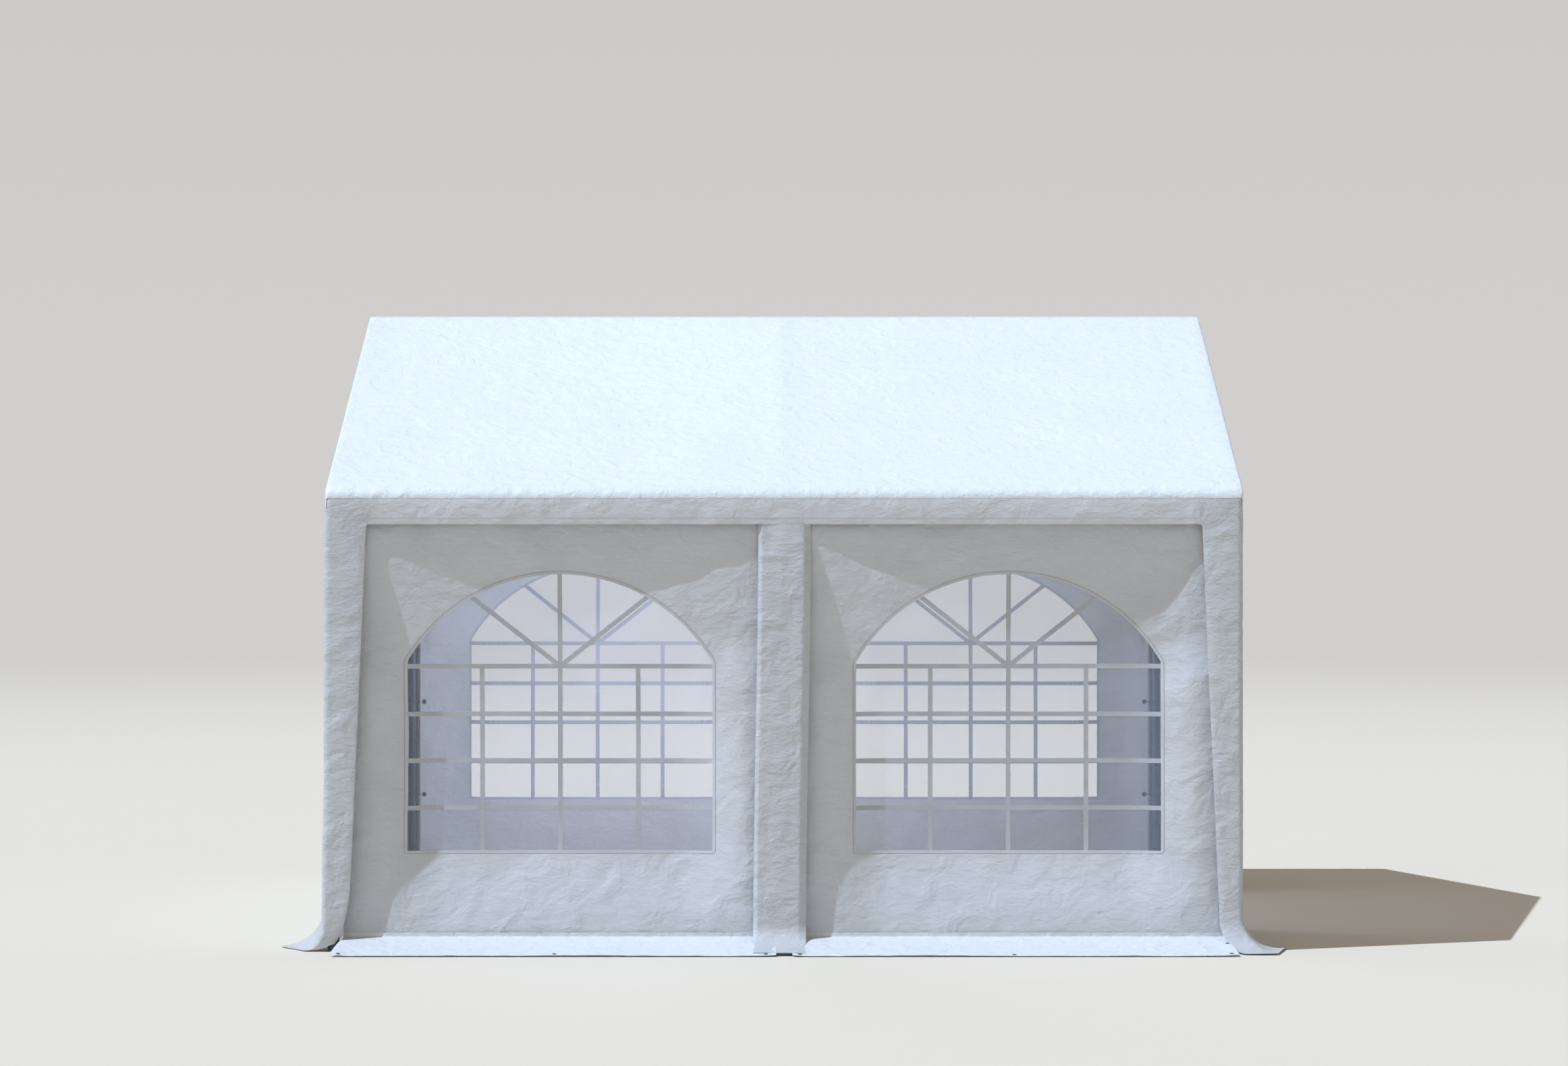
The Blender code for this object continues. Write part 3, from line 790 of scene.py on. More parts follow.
# Flap over the seam between the two bays; its edges curl back and its foot lies on both skirts
seamFlap = {
    "width": 0.230,
    "top": 1.985,
    "plane": 1.9955,
    "clear": 0.0035,  # it stands off the loops round the post by this much below the valance
    "bend": 0.085,
    "reach": 0.190,
    "lean": 0.022,  # the foot hangs this much further to the left than the top
    "lift": 0.0062,  # the foot lies this much above the skirts
    "leftCurl": 0.011,
    "rightCurl": 0.0165,
    "leftCurlWidth": 0.020,
    "rightCurlWidth": 0.034,
    "edgeGap": 0.007,
    "waves": (0.0022, 0.0010),
    "creases": [  # from and to, each from the flap's middle and below its top; width; height
        (-0.11, 0.262, 0.02, 0.268, 0.010, 0.0040), (0.00, 0.225, 0.09, 0.21, 0.014, 0.0016),
        (-0.10, 0.40, 0.06, 0.45, 0.02, 0.0012), (-0.02, 0.9, 0.09, 0.78, 0.03, 0.0016),
        (-0.09, 1.30, 0.05, 1.22, 0.025, 0.0018), (-0.05, 1.62, 0.07, 1.57, 0.02, 0.0022)],
}
skirt = {
    "fold": 0.056,
    "depth": 0.29,
    "lap": 0.018,  # its upper edge is welded on the panel over this much
    "clear": 0.0016,  # and lies this far before it
    "lift": 0.002,
    "waves": (0.003, 0.0028, 0.0012),
    "curl": 0.004,  # the short ends curl up a little
    "outerFlare": 0.035,
    "innerFlare": 0.005,
    "step": 0.02,
    "foldRows": (0, 0.006, 0.012, 0.016, 0.020, 0.026, 0.034),
}
skirtTilt = math.atan2(skirt["fold"], skirt["depth"])


def seamFlapSurface(side):
    sign = sides[side]

    def surface(across, down):
        half = seamFlap["width"] / 2
        out = creaseHeight(across, down, seamFlap["creases"])
        large, small = seamFlap["waves"]
        out += large * ripple(across, down, 0.19, 21) + small * ripple(across, down, 0.06, 22)
        left = smooth(seamFlap["leftCurlWidth"], 0.0, across + half)
        right = max(1 - (half - across) / seamFlap["rightCurlWidth"], 0) ** 1.25
        out -= seamFlap["leftCurl"] * left**1.3 + seamFlap["rightCurl"] * right
        out -= 0.004 * smooth(0.05, -half, across) * smooth(0.5, 0.0, down)
        x = across - seamFlap["lean"] * smooth(0.1, 1.9, down) + 0.002
        z = seamFlap["top"] - down
        y = seamFlap["plane"] + seamFlap["clear"] * smooth(0.13, 0.24, down)
        # The bend: from hanging straight to lying on the skirts
        layZ = skirt["fold"] - (y - tent["wallPlane"]) * math.tan(skirtTilt) + seamFlap["lift"]
        radius = seamFlap["bend"]
        start = layZ + radius * (1 - math.sin(skirtTilt)) / math.cos(skirtTilt)
        full = math.pi / 2 - skirtTilt
        if z < start:
            turn = min((start - z) / radius, full)
            past = max(start - z - radius * full, 0)
            y += radius * (1 - math.cos(turn)) + past * math.cos(skirtTilt)
            z = start - radius * math.sin(turn) - past * math.sin(skirtTilt)
            part = turn / full
            y += out * (1 - part)
            z += out * part * 0.5 + 0.004 * part * (left + right)
        else:
            y += out
        return x, sign * y, max(z, 0.001) + tent["sheet"]

    return surface


def makeSeamFlap(side):
    half = seamFlap["width"] / 2
    surface = seamFlapSurface(side)
    columns = [-half, *steps(-half + 0.004, -half + 0.024, 0.005), *steps(-half + 0.032, half - 0.044, 0.011)]
    columns += [*steps(half - 0.036, half - 0.004, 0.005), half]
    layZ = skirt["fold"] - (seamFlap["plane"] - tent["wallPlane"]) * math.tan(skirtTilt)
    bendLength = seamFlap["bend"] * (math.pi / 2 - skirtTilt)
    length = seamFlap["top"] - layZ - seamFlap["bend"] * 0.83 + bendLength
    length += seamFlap["reach"] - seamFlap["bend"] * 0.82
    piece = makeSheet(f"{side}-seam-flap", gridPattern(columns, steps(0, length, 0.0155)), surface,
                      materials["flap"], tent["sheet"])
    settle(piece, [f"{side}_seam_flap_1"])
    downs = steps(0.2, length - 0.01, 0.04)
    lines = [[(way * (half - seamFlap["edgeGap"]), -down) for down in downs] for way in (-1, 1)]
    lines.append([(x, -length + 0.008) for x in steps(-half + 0.01, half - 0.01, 0.03)])
    stitches = layStitches(lines, upwards(surface), -sides[side])
    trim = settle(link(f"{side}-seam-flap-stitches", stitches))


for side in sides:
    makeSeamFlap(side)
print("seam flaps made")


# Side walls: each bay has a panel that bellies inwards round its arched window, and a skirt along its foot
panel = {
    "top": 2.008,
    "bottom": 0.0565,
    "belly": 0.09,
    "leftBulge": 0.032,  # the upper corners bulge out, and the left one of each panel more
    "rightBulge": 0.0252,
    "slack": 0.030,  # the right bay is slacker towards its outer upper corner
    "flatTop": 1.71,  # where the cloth stretched from the corners to the arch starts to go in
    "inwardsDown": 0.105,  # how far in it goes on the way down
    "inwardsAcross": 0.055,  # and on the way from the edge
    "waves": (0.0032, 0.0022, 0.0009),
    "rings": 22,
    "turns": 236,
    "hem": 0.030,
    "hemSeam": (0.004, 0.0008, 0.03),
    "creases": [  # from and to, each from the panel's middle and above the ground; width; height
        (-0.67, 0.431, -0.93, 0.12, 0.030, 0.0025), (0.67, 0.431, 0.93, 0.12, 0.030, 0.0040),
        (-0.66, 1.27, -0.93, 1.72, 0.035, 0.0012), (0.66, 1.27, 0.93, 1.66, 0.035, 0.0012),
        (-0.30, 0.36, -0.36, 0.09, 0.028, 0.0030), (0.18, 0.38, 0.30, 0.08, 0.030, 0.0030),
        (0.55, 0.40, 0.52, 0.08, 0.024, 0.0026), (-0.78, 0.95, -0.90, 0.60, 0.022, 0.0026),
        (0.76, 1.05, 0.91, 0.86, 0.020, 0.0026), (0.74, 0.72, 0.93, 0.66, 0.022, 0.0028),
        (-0.10, 1.68, -0.22, 1.98, 0.030, 0.0022), (0.44, 1.60, 0.60, 1.96, 0.032, 0.0026)],
}
window = {
    "width": 1.336,
    "sill": 0.431,
    "side": 0.828,
    "rise": 0.384,
    "weld": 0.013,
    "weldHeight": 0.0007,
    "weldEdge": (0.0022, 0.0016, 0.02),
    "foil": 0.0006,
    "foilGap": 0.0022,  # the foil lies this much further in than the panel's outer face
    "bars": (0.0205, 0.0010, 0.02),
    "barLift": 0.0006,
    "barLap": 0.01,  # the straight bars end on the weld, this far past the opening
    "fanLap": 0.008,
    "rows": [0.187, 0.394, 0.599, 0.809],
    "columns": [-0.342, 0.342],
    "fan": 38.3,  # degrees of the two slanted bars
}
archRadius = ((window["width"] / 2) ** 2 + window["rise"] ** 2) / (2 * window["rise"])
archCentre = window["side"] + window["rise"] - archRadius
windowMiddle = window["side"] * 0.62  # height over the sill of the point that the rings of the mesh run round
windowCorners = [(way * window["width"] / 2, z)
                 for way in (-1, 1) for z in (-windowMiddle, window["side"] - windowMiddle)]


def bellyAt(edge, across, z):
    # How far in the panel is, by the distance to its nearer edge, the one from its middle and the height:
    # hollow round the window, and stretched flat from the full upper corners to the arch
    bulge = panel["leftBulge"] + (panel["rightBulge"] - panel["leftBulge"]) * smooth(-0.4, 0.4, across)
    hollow = panel["belly"] * smooth(0.105, 0.43, edge) * smooth(1.76, 0.85, z) ** 0.7
    hollow *= smooth(-0.06, 0.50, z)
    stretched = panel["inwardsAcross"] * edge + panel["inwardsDown"] * (panel["flatTop"] - z) - bulge
    stretched *= smooth(0, 0.07, edge)
    share = smooth(1.15, 1.40, z) * smooth(1.98, 1.80, z)
    return hollow + (stretched - hollow) * share


def panelSurface(side, bay):
    sign = sides[side]
    left, right = bays[bay]
    middle = (left + right) / 2
    seed = 31 + bay * 5 + (0 if side == "front" else 23)
    large, middling, small = panel["waves"]

    def surface(x, z):
        edge = min(x - left, right - x)
        free = smooth(0, 0.07, edge) * smooth(0.06, 0.16, z)
        free *= 0.25 + 0.75 * smooth(1.75, 1.25, z)
        free *= smooth(2.01, 1.90, z)
        depth = bellyAt(edge, x - middle, z)
        if bay == 2:
            slack = panel["slack"] * smooth(0.03, 0.30, right - x) * smooth(1.1, 0.5, right - x)
            depth += slack * smooth(1.95, 1.55, z) * smooth(1.0, 1.35, z)
        waves = large * ripple(x, z, 0.36, seed) + middling * ripple(x + z * 0.5, z * 0.7, 0.15, seed + 1)
        depth += free * waves
        depth += free * small * ripple(x - z * 0.4, z, 0.06, seed + 2)
        depth += free * creaseHeight(x - middle, z, panel["creases"])
        return x, sign * (tent["wallPlane"] - depth), z

    return surface


def windowReach(angle, margin):
    # Distance from the window's centre to its edge, moved outwards by a margin, in a direction
    toX, toZ = math.cos(angle), math.sin(angle)
    reach = (window["width"] / 2 + margin) / max(abs(toX), 1e-6)
    if toZ < 0:
        reach = min(reach, (windowMiddle + margin) / -toZ)
    if windowMiddle + toZ * reach > window["side"]:
        away = windowMiddle - archCentre
        along = away * toZ
        reach = min(reach, -along + math.sqrt(along**2 - away**2 + (archRadius + margin) ** 2))
    return reach


def panelReach(angle, left, right, bottom, top):
    toX, toZ = math.cos(angle), math.sin(angle)
    reachX = (right if toX > 0 else left) / toX if abs(toX) > 1e-6 else 1e9
    reachZ = (top if toZ > 0 else bottom) / toZ if abs(toZ) > 1e-6 else 1e9
    return min(reachX, reachZ)


def ringAngles(corners):
    fixed = sorted(math.atan2(z, x) % (2 * math.pi) for x, z in corners)
    size = 2 * math.pi / panel["turns"]
    angles = list(fixed)
    for start, end in zip(fixed, fixed[1:] + [fixed[0] + 2 * math.pi]):
        angles += [angle % (2 * math.pi) for angle in steps(start, end, size)[1:-1]]
    return sorted(angles)


def ringPattern(middle, centreZ, angles, near, far, shares):
    points, faces = [], []
    for share in shares:
        for angle in angles:
            reach = near(angle) + (far(angle) - near(angle)) * share
            points.append((middle + math.cos(angle) * reach, centreZ + math.sin(angle) * reach))
    wide = len(angles)
    for ring in range(len(shares) - 1):
        for at in range(wide):
            nextAt = (at + 1) % wide
            faces.append((ring * wide + at, (ring + 1) * wide + at,
                          (ring + 1) * wide + nextAt, ring * wide + nextAt))
    return points, faces


def archTop(x, margin=0.0):
    return archCentre + math.sqrt(max((archRadius + margin) ** 2 - x**2, 0))


def foilPattern(middle):
    # Straight sides under the arch, widened by the weld so that the wall laps over it
    half, foot = window["width"] / 2 + window["weld"], window["sill"] - window["weld"]
    points, faces = gridPattern(steps(-1, 1, 1 / 26), steps(0, 1, 1 / 40))
    placed = []
    for u, v in points:
        x = u * half
        top = window["sill"] + min(archTop(min(abs(x), window["width"] / 2), window["weld"]),
                                   archTop(x, window["weld"]))
        placed.append((middle + x, foot + (top - foot) * v))
    return placed, faces


def windowBars(middle):
    # Lines of the lattice in the flat window, each ending on the weld
    lap = window["barLap"]
    half = window["width"] / 2 + lap
    sill, spring = window["sill"], window["sill"] + window["rows"][-1]
    lines = [[(middle - half, sill + row), (middle + half, sill + row)] for row in window["rows"]]
    lines.append([(middle, sill - lap), (middle, sill + window["side"] + window["rise"] + lap)])
    for x in window["columns"]:
        lines.append([(middle + x, sill - lap), (middle + x, spring)])
    for way in (-1, 1):
        toX, toZ = math.cos(math.radians(window["fan"])), math.sin(math.radians(window["fan"]))
        away = spring - sill - archCentre
        reach = -away * toZ + math.sqrt((away * toZ) ** 2 - away**2 + archRadius**2) + window["fanLap"]
        lines.append([(middle, spring), (middle + way * toX * reach, spring + toZ * reach)])
    return lines


def makePanel(side, bay):
    name = f"{side}-wall-{bay}"
    left, right = bays[bay]
    middle = (left + right) / 2
    surface = panelSurface(side, bay)
    outward = -sides[side]
    centreZ = window["sill"] + windowMiddle
    bottom, top = panel["bottom"] - centreZ, panel["top"] - centreZ

    def toWindow(angle):
        return windowReach(angle, 0)

    def toWeldEdge(angle):
        return windowReach(angle, window["weld"])

    def toPanelEdge(angle):
        return panelReach(angle, left - middle, right - middle, bottom, top)

    def behind(u, v):  # the foil lies against the inside of the panel
        return Vector(surface(u, v)) + Vector((0, outward * window["foilGap"], 0))

    def proud(u, v):  # and a weld frames it on the outside
        return Vector(surface(u, v)) - Vector((0, outward * window["weldHeight"], 0))

    angles = ringAngles(windowCorners + [(x - middle, z) for x in (left, right) for z in (bottom, top)])
    shares = [0, 0.02, *steps(0.06, 1, 1 / panel["rings"])]
    pattern = ringPattern(middle, centreZ, angles, toWindow, toPanelEdge, shares)
    cloth = makeSheet(f"{name}-panel", pattern, surface, materials["wall"], tent["sheet"])
    settle(cloth, [f"{side}_wall_{bay}"])
    foil = makeSheet(f"{side}-foil-{bay}", foilPattern(middle), behind, materials["foil"], window["foil"])
    settle(foil, [f"{side}_window_{bay}"])
    weldAngles = ringAngles(windowCorners)
    pattern = ringPattern(middle, centreZ, weldAngles, toWindow, toWeldEdge, steps(0, 1, 0.5))
    weld = makeSheet(f"{name}-weld", pattern, proud, materials["weld"], window["weldHeight"])
    settle(weld)
    ring = [(middle + math.cos(angle) * toWeldEdge(angle), centreZ + math.sin(angle) * toWeldEdge(angle))
            for angle in weldAngles]
    # A darker strip along the weld's outer edge: painted shade at its step.
    rim = layStrips([ring], window["weldEdge"], "seam", surface, outward, closed=True)
    rim = settle(link(f"{name}-weld-edge", rim))
    bars = layStrips(windowBars(middle), window["bars"], "bars", behind, outward)
    for vertex in bars.vertices:
        vertex.co.y -= outward * window["barLift"]
    bars = settle(link(f"{side}-bars-{bay}", bars))
    heights = steps(panel["bottom"] + 0.01, panel["top"] - 0.01, 0.05)
    hems = [[(x, z) for z in heights] for x in (left + panel["hem"], right - panel["hem"])]
    hemSeams = layStrips(hems, panel["hemSeam"], "weld", surface, outward)
    hemSeams = settle(link(f"{name}-seams", hemSeams))


def skirtSurface(side, bay):
    sign = sides[side]
    left, right = bays[bay]
    flareLeft = skirt["outerFlare"] if bay == 1 else skirt["innerFlare"]
    flareRight = skirt["outerFlare"] if bay == 2 else skirt["innerFlare"]
    seed = 61 + bay + (0 if side == "front" else 9)
    up = skirt["lap"]
    large, middling, small = skirt["waves"]

    def surface(u, v):
        away = max(v - up, 0)
        part = away / skirt["depth"]
        x = left - flareLeft * part + (right + flareRight * part - left + flareLeft * part) * u
        turn = smooth(-0.010, 0.012, v - up)
        y = tent["wallPlane"] + skirt["clear"] + away * math.cos(skirtTilt) * 0.992
        z = skirt["fold"] + skirt["lift"] + (up - v) * (1 - turn) - away * math.sin(skirtTilt) * turn
        loose = smooth(0.03, 0.14, away)
        z += loose * (middling * (ripple(x, y, 0.21, seed) + 0.5) + small * ripple(x, y, 0.07, seed + 1))
        z += large * math.sin(math.pi * min(part, 1)) * ripple(x, y, 0.5, seed + 2)
        for edge in (x - left, right - x):
            z += skirt["curl"] * loose * smooth(0.05, -0.03, edge)
        return x, sign * y, max(z, 0.0006) + tent["sheet"]

    return surface


eyelets = {
    "wallRadius": 0.011,
    "skirtRadius": 0.0075,
    "rim": 0.0033,
    "skirtPlaces": {1: (0.019, 0.503, 0.977), 2: (0.017, 0.497, 0.984)},
    "skirtInset": 0.020,
    "cornerPlace": (0.993, 0.13),  # one more at the right end of the right skirt
    "wallInset": 0.0205,
    "wallHeights": (0.44, 0.93, 1.42, 1.91),
}


def growEyelets(places, radius, surface, outward):
    # Grows each ring flat at its place, then moves it onto the cloth without stretching it
    rings = grow(eyeletTree, places, {
        "Radius": radius, "Rim": eyelets["rim"], "Finish": materials["eyelet"], "Hole": materials["hole"]})
    spots = [Vector(place[0]) for place in places]
    frames = []
    step = 0.002
    for u, v in spots:
        here = Vector(surface(u, v))
        alongU = (Vector(surface(u + step, v)) - here).normalized()
        alongV = (Vector(surface(u, v + step)) - here).normalized()
        frames.append((here, alongU, alongV, alongU.cross(alongV).normalized() * outward))
    for vertex in rings.vertices:
        at = min(range(len(spots)), key=lambda spot: (vertex.co.xy - spots[spot]).length)
        here, alongU, alongV, up = frames[at]
        x, y = vertex.co.xy - spots[at]
        vertex.co = here + alongU * x + alongV * y + up * (vertex.co.z - tent["sheet"] / 2)
    if outward < 0:
        rings.flip_normals()
    return rings


def makeSkirt(side, bay):
    left, right = bays[bay]
    surface = skirtSurface(side, bay)
    columns = steps(0, 1, skirt["step"] / (right - left))
    length = skirt["depth"] + skirt["lap"]
    rows = [*skirt["foldRows"], *steps(0.05, length, 0.018)]
    # The skirt takes the roof's lighter copy of the cloth: painted light for its face that lies open to the
    # sun.
    piece = makeSheet(f"{side}-skirt-{bay}", gridPattern(columns, rows), surface, materials["roof"],
                      tent["sheet"], inner=(0, 0, -2))
    settle(piece, [f"{side}_wall_{bay}"])
    for corner in piece.data.uv_layers["cloth"].data:  # its columns were shares of the bay's length
        corner.uv.x = left + (right - left) * corner.uv.x
    places = [[(u, length - eyelets["skirtInset"])] for u in eyelets["skirtPlaces"][bay]]
    if bay == 2:
        places.append([eyelets["cornerPlace"]])
    rings = growEyelets(places, eyelets["skirtRadius"], surface, sides[side])
    rings = settle(link(f"{side}-skirt-eyelets-{bay}", rings))


for side in sides:
    for bay in bays:
        makePanel(side, bay)
        makeSkirt(side, bay)
print("side walls, windows and skirts made")


# End walls up to the gables, each with its doorway; the left door is zipped shut, the right one rolled up
gable = {
    "step": 0.03,
    "drop": 0.020,
    "belly": 0.022,
    "billow": 0.009,
    "crinkle": 0.003,
    "inset": 0.030,  # the end wall's cut is this much narrower on each side than the tent
    "rows": 24,  # from the top of the doorway to the gable
}
door = {
    "width": 1.90,
    "height": 1.93,
    "lap": 0.02,
    "step": 0.03,
    "hollow": 0.012,  # how far in the shut door hangs
    "waves": (0.012, 0.003),
    "rollGap": 0.0026,  # from the end wall's plane to the roll
    "rollZ": 1.985,
    "rollRadius": 0.0465,
    "rollSheet": 0.0009,
    "uneven": 0.035,  # share by which the roll is thicker and thinner
    "squeeze": 0.07,  # and by which the straps draw it in
    "sag": 0.007,  # of the roll between its straps
    "coreRadius": 0.009,
    "pitch": 0.00263,
    "hungLength": 0.045,
    "zip": (0.024, 0.0012, 0.04),
    "zipPlace": 0.004,  # from the edge of the doorway
    "sliders": {"left": 0.045, "right": 1.90},  # height of the zips' sliders, shut and open
}
strap = {
    "places": (-0.62, 0.0, 0.62),
    "width": 0.025,
    "thickness": 0.0012,
    "clear": 0.0015,
    "upper": 0.030,  # length sewn to the wall over the roll
    "lower": 0.02,  # and under it
}


def gableTop(y):
    return tent["ridge"] - slope * abs(y) - gable["drop"] - 0.010 * smooth(1.96, 2.0, abs(y))


def endSurface(end):
    sign = ends[end]
    seed = 83 if end == "left" else 91

    def surface(y, z):
        free = smooth(1.955, 1.80, abs(y)) * smooth(0.06, 0.26, gableTop(y) - z)
        side = max(abs(y) - door["width"] / 2, 0)
        depth = gable["belly"] * math.sin(math.pi * min(side / 1.0, 1)) * smooth(0, 0.5, z)
        depth += gable["billow"] * (0.5 + ripple(y * 1.6, z * 0.45, 0.30, seed))
        depth += gable["crinkle"] * ripple(y + z * 0.3, z * 0.8, 0.13, seed + 1)
        return sign * (tent["endPlane"] - free * depth), y, max(z, tent["sheet"])

    return surface


def doorSurface(end):
    sign = ends[end]

    def surface(y, z):
        free = smooth(door["width"] / 2 - 0.03, door["width"] / 2 - 0.20, abs(y)) * smooth(2.0, 1.7, z)
        large, small = door["waves"]
        depth = door["hollow"] + large * ripple(y * 1.7, z * 0.5, 0.34, 97) + small * ripple(y, z, 0.12, 98)
        return sign * (halfLength - free * depth), y, max(z, tent["sheet"])

    return surface


def isDoorway(corners):
    # Whether a face of the end wall lies in its doorway
    away = sum(abs(y) for y, z in corners) / len(corners)
    height = sum(z for y, z in corners) / len(corners)
    return away < door["width"] / 2 and height < door["height"]


def endWallPattern(doorHalf, edge):
    # Rows up to the top of the doorway are shares of its height, and those above it go up to the gable
    jamb = steps(doorHalf, edge, gable["step"])
    columns = [-y for y in reversed(jamb)] + steps(-doorHalf, doorHalf, gable["step"])[1:-1] + jamb
    lower, upper = steps(0, door["height"], gable["step"]), steps(1, 2, 1 / gable["rows"])
    drawn, allFaces = gridPattern(columns, [*(z / door["height"] for z in lower), *upper[1:]])
    points = [(y, door["height"] * min(part, 1) + (gableTop(y) - door["height"]) * max(part - 1, 0))
              for y, part in drawn]
    faces = [face for face in allFaces if not isDoorway([points[index] for index in face])]
    used = sorted({index for face in faces for index in face})
    number = {index: at for at, index in enumerate(used)}
    return [points[index] for index in used], [tuple(number[index] for index in face) for face in faces]


def makeEndWall(end):
    doorHalf, edge = door["width"] / 2, tent["endPlane"] - gable["inset"]
    surface, outward = endSurface(end), ends[end]
    piece = makeSheet(f"{end}-end-wall", endWallPattern(doorHalf, edge), surface, materials["wall"],
                      tent["sheet"])
    settle(piece, [f"{end}_end_wall"])
    # A zip runs up each side of the doorway: its tape, its teeth that show as one coil, and its slider
    zips = [way * (doorHalf + door["zipPlace"]) for way in (-1, 1)]
    lines = [[(y, z) for z in steps(0.01, door["height"] + 0.01, 0.04)] for y in zips]
    under = surface if end == "right" else doorSurface(end)
    tape = layStrips(lines, door["zip"], "webbing", under, outward)
    teeth = layOn(grow(stitchTree, lines, {
        "Spacing": 0.0055, "Size": (0.0018, 0.0034, 0.0016), "Finish": materials["zip"]}), under, outward)
    sliders = layOn(grow(boltTree, [[(y, door["sliders"][end])] for y in zips], {
        "Head": 0.006, "Finish": materials["bolt"]}, aims=[(0, 0, 1), (0, 0, 1)]), under, outward)
    hem = [[(y, door["height"] + 0.03) for y in steps(-doorHalf, doorHalf, 0.06)]]
    for way in (-1, 1):
        hem.append([(way * (edge - 0.03), z) for z in steps(0.02, 1.97, 0.06)])
        hem.append([(way * (doorHalf + 0.04), z) for z in steps(0.02, 1.96, 0.06)])
    trim = joined(f"{end}-zips", [tape, teeth, sliders, layStitches(hem, surface, outward)])
    settle(trim)
    area = 2 * edge * door["height"] - door["width"] * door["height"]
    area += edge * (gableTop(0) + gableTop(edge) - 2 * door["height"])


def makeClosedDoor(end):
    half, top = door["width"] / 2 + door["lap"], door["height"] + door["lap"]
    pattern = gridPattern(steps(-half, half, door["step"]), steps(0, top, door["step"]))
    piece = makeSheet(f"{end}-door", pattern, doorSurface(end), materials["wall"], tent["sheet"])
    settle(piece, [f"{end}_door_sheet"])


def rollPlace(y, distance):
    # The door hangs from its seam for a few centimetres and then winds up on itself
    tight = max(math.exp(-(((y - place) / (2 * strap["width"])) ** 2)) for place in strap["places"])
    radius = door["rollRadius"] * (1 + door["uneven"] * ripple(y, 0, 0.22, 101) - door["squeeze"] * tight)
    wallX = tent["endPlane"] + door["rollGap"]
    sag = door["sag"] * (1 - tight) * (0.6 + ripple(y, 1, 0.35, 102))
    wound = distance - door["hungLength"]
    if wound <= 0:
        return wallX, y, door["rollZ"] - sag - wound
    inner = math.sqrt(max(radius**2 - door["pitch"] * wound / math.pi, 0))
    turn = (radius - inner) * 2 * math.pi / door["pitch"]
    here = radius - door["pitch"] * turn / (2 * math.pi)
    here *= 1 + 0.02 * math.sin(3 * turn + y * 4)
    return wallX + radius - here * math.cos(turn), y, door["rollZ"] - sag - here * math.sin(turn)


def strapPlace(u, v):
    # Down from the wall over the roll and back to the wall under it
    reach = door["rollRadius"] * 0.945 + strap["clear"]
    wallX = tent["endPlane"] + strap["thickness"]
    centreX = tent["endPlane"] + door["rollGap"] + reach - strap["clear"]
    if u < 0.2:
        return wallX, v, door["rollZ"] + reach + strap["upper"] * (1 - u / 0.2) + 0.004
    turn = math.pi * (0.94 - (min(u, 0.9) - 0.2) / 0.7 * 1.86)
    x, z = centreX + reach * math.cos(turn), door["rollZ"] + reach * math.sin(turn)
    if u > 0.9:
        z -= strap["lower"] * (u - 0.9) / 0.1
        x = wallX
    return max(x, wallX), v, z


def makeRolledDoor(end):
    half = door["width"] / 2 + door["lap"] - 0.003
    radius, core, pitch = door["rollRadius"] * 0.88, door["coreRadius"], door["pitch"]
    turns = steps(0, (radius - core) * 2 * math.pi / pitch, 2 * math.pi / 22)
    rows = [0, 0.015, 0.03]
    rows += [door["hungLength"] + radius * turn - pitch * turn**2 / (4 * math.pi) for turn in turns]
    pattern = gridPattern(steps(-half, half, door["step"]), rows)
    piece = makeSheet(f"{end}-door-roll", pattern, rollPlace, materials["wall"], door["rollSheet"],
                      inner=(tent["endPlane"] - 0.3, 0, door["rollZ"]))
    settle(piece, [f"{end}_door_roll"])
    straps = []
    for place in strap["places"]:
        across = steps(place - strap["width"] / 2, place + strap["width"] / 2, strap["width"] / 4)
        inner = (tent["endPlane"] + door["rollRadius"], place, door["rollZ"])
        band = makeSheet("strap", gridPattern(steps(0, 1, 1 / 44), across), strapPlace, materials["webbing"],
                         strap["thickness"], inner)
        straps.append(band.data)
        bpy.data.objects.remove(band, do_unlink=True)
    ties = settle(joined(f"{end}-door-ties", straps))


for end in ends:
    makeEndWall(end)
makeClosedDoor("left")
makeRolledDoor("right")
print("end walls and doors made")


# Eyelets down the panels' edges, and the elastic loops that hold them to the posts
loops = {
    "radius": 0.0018,
    "postRadius": 0.025,
    "postGap": 0.0004,
    "inner": 0.0065,  # how far the loop's ends stand off the panel's outer face, inside
    "outer": 0.0045,  # and outside
    "top": 1.85,  # eyelets higher than this have no loop
}


def loopLine(post, eyeX, planeY, z, sign):
    # Seen from above: from the eyelet round the far side of the post and back on the other side of the cloth
    away = Vector((post[0] - eyeX, post[1] - planeY))
    reach, around = away.length, loops["postRadius"] + loops["radius"] + loops["postGap"]
    spread = math.acos(min(around / reach, 0.999))
    heading = math.atan2(-away.y, -away.x)
    points = [(post[0] + around * math.cos(heading + turn), post[1] + around * math.sin(heading + turn), z)
              for turn in steps(spread, 2 * math.pi - spread, 0.28)]
    start, end = planeY - sign * loops["inner"], planeY + sign * loops["outer"]
    return [(eyeX, start, z), *points, (eyeX, end, z - 0.003)]


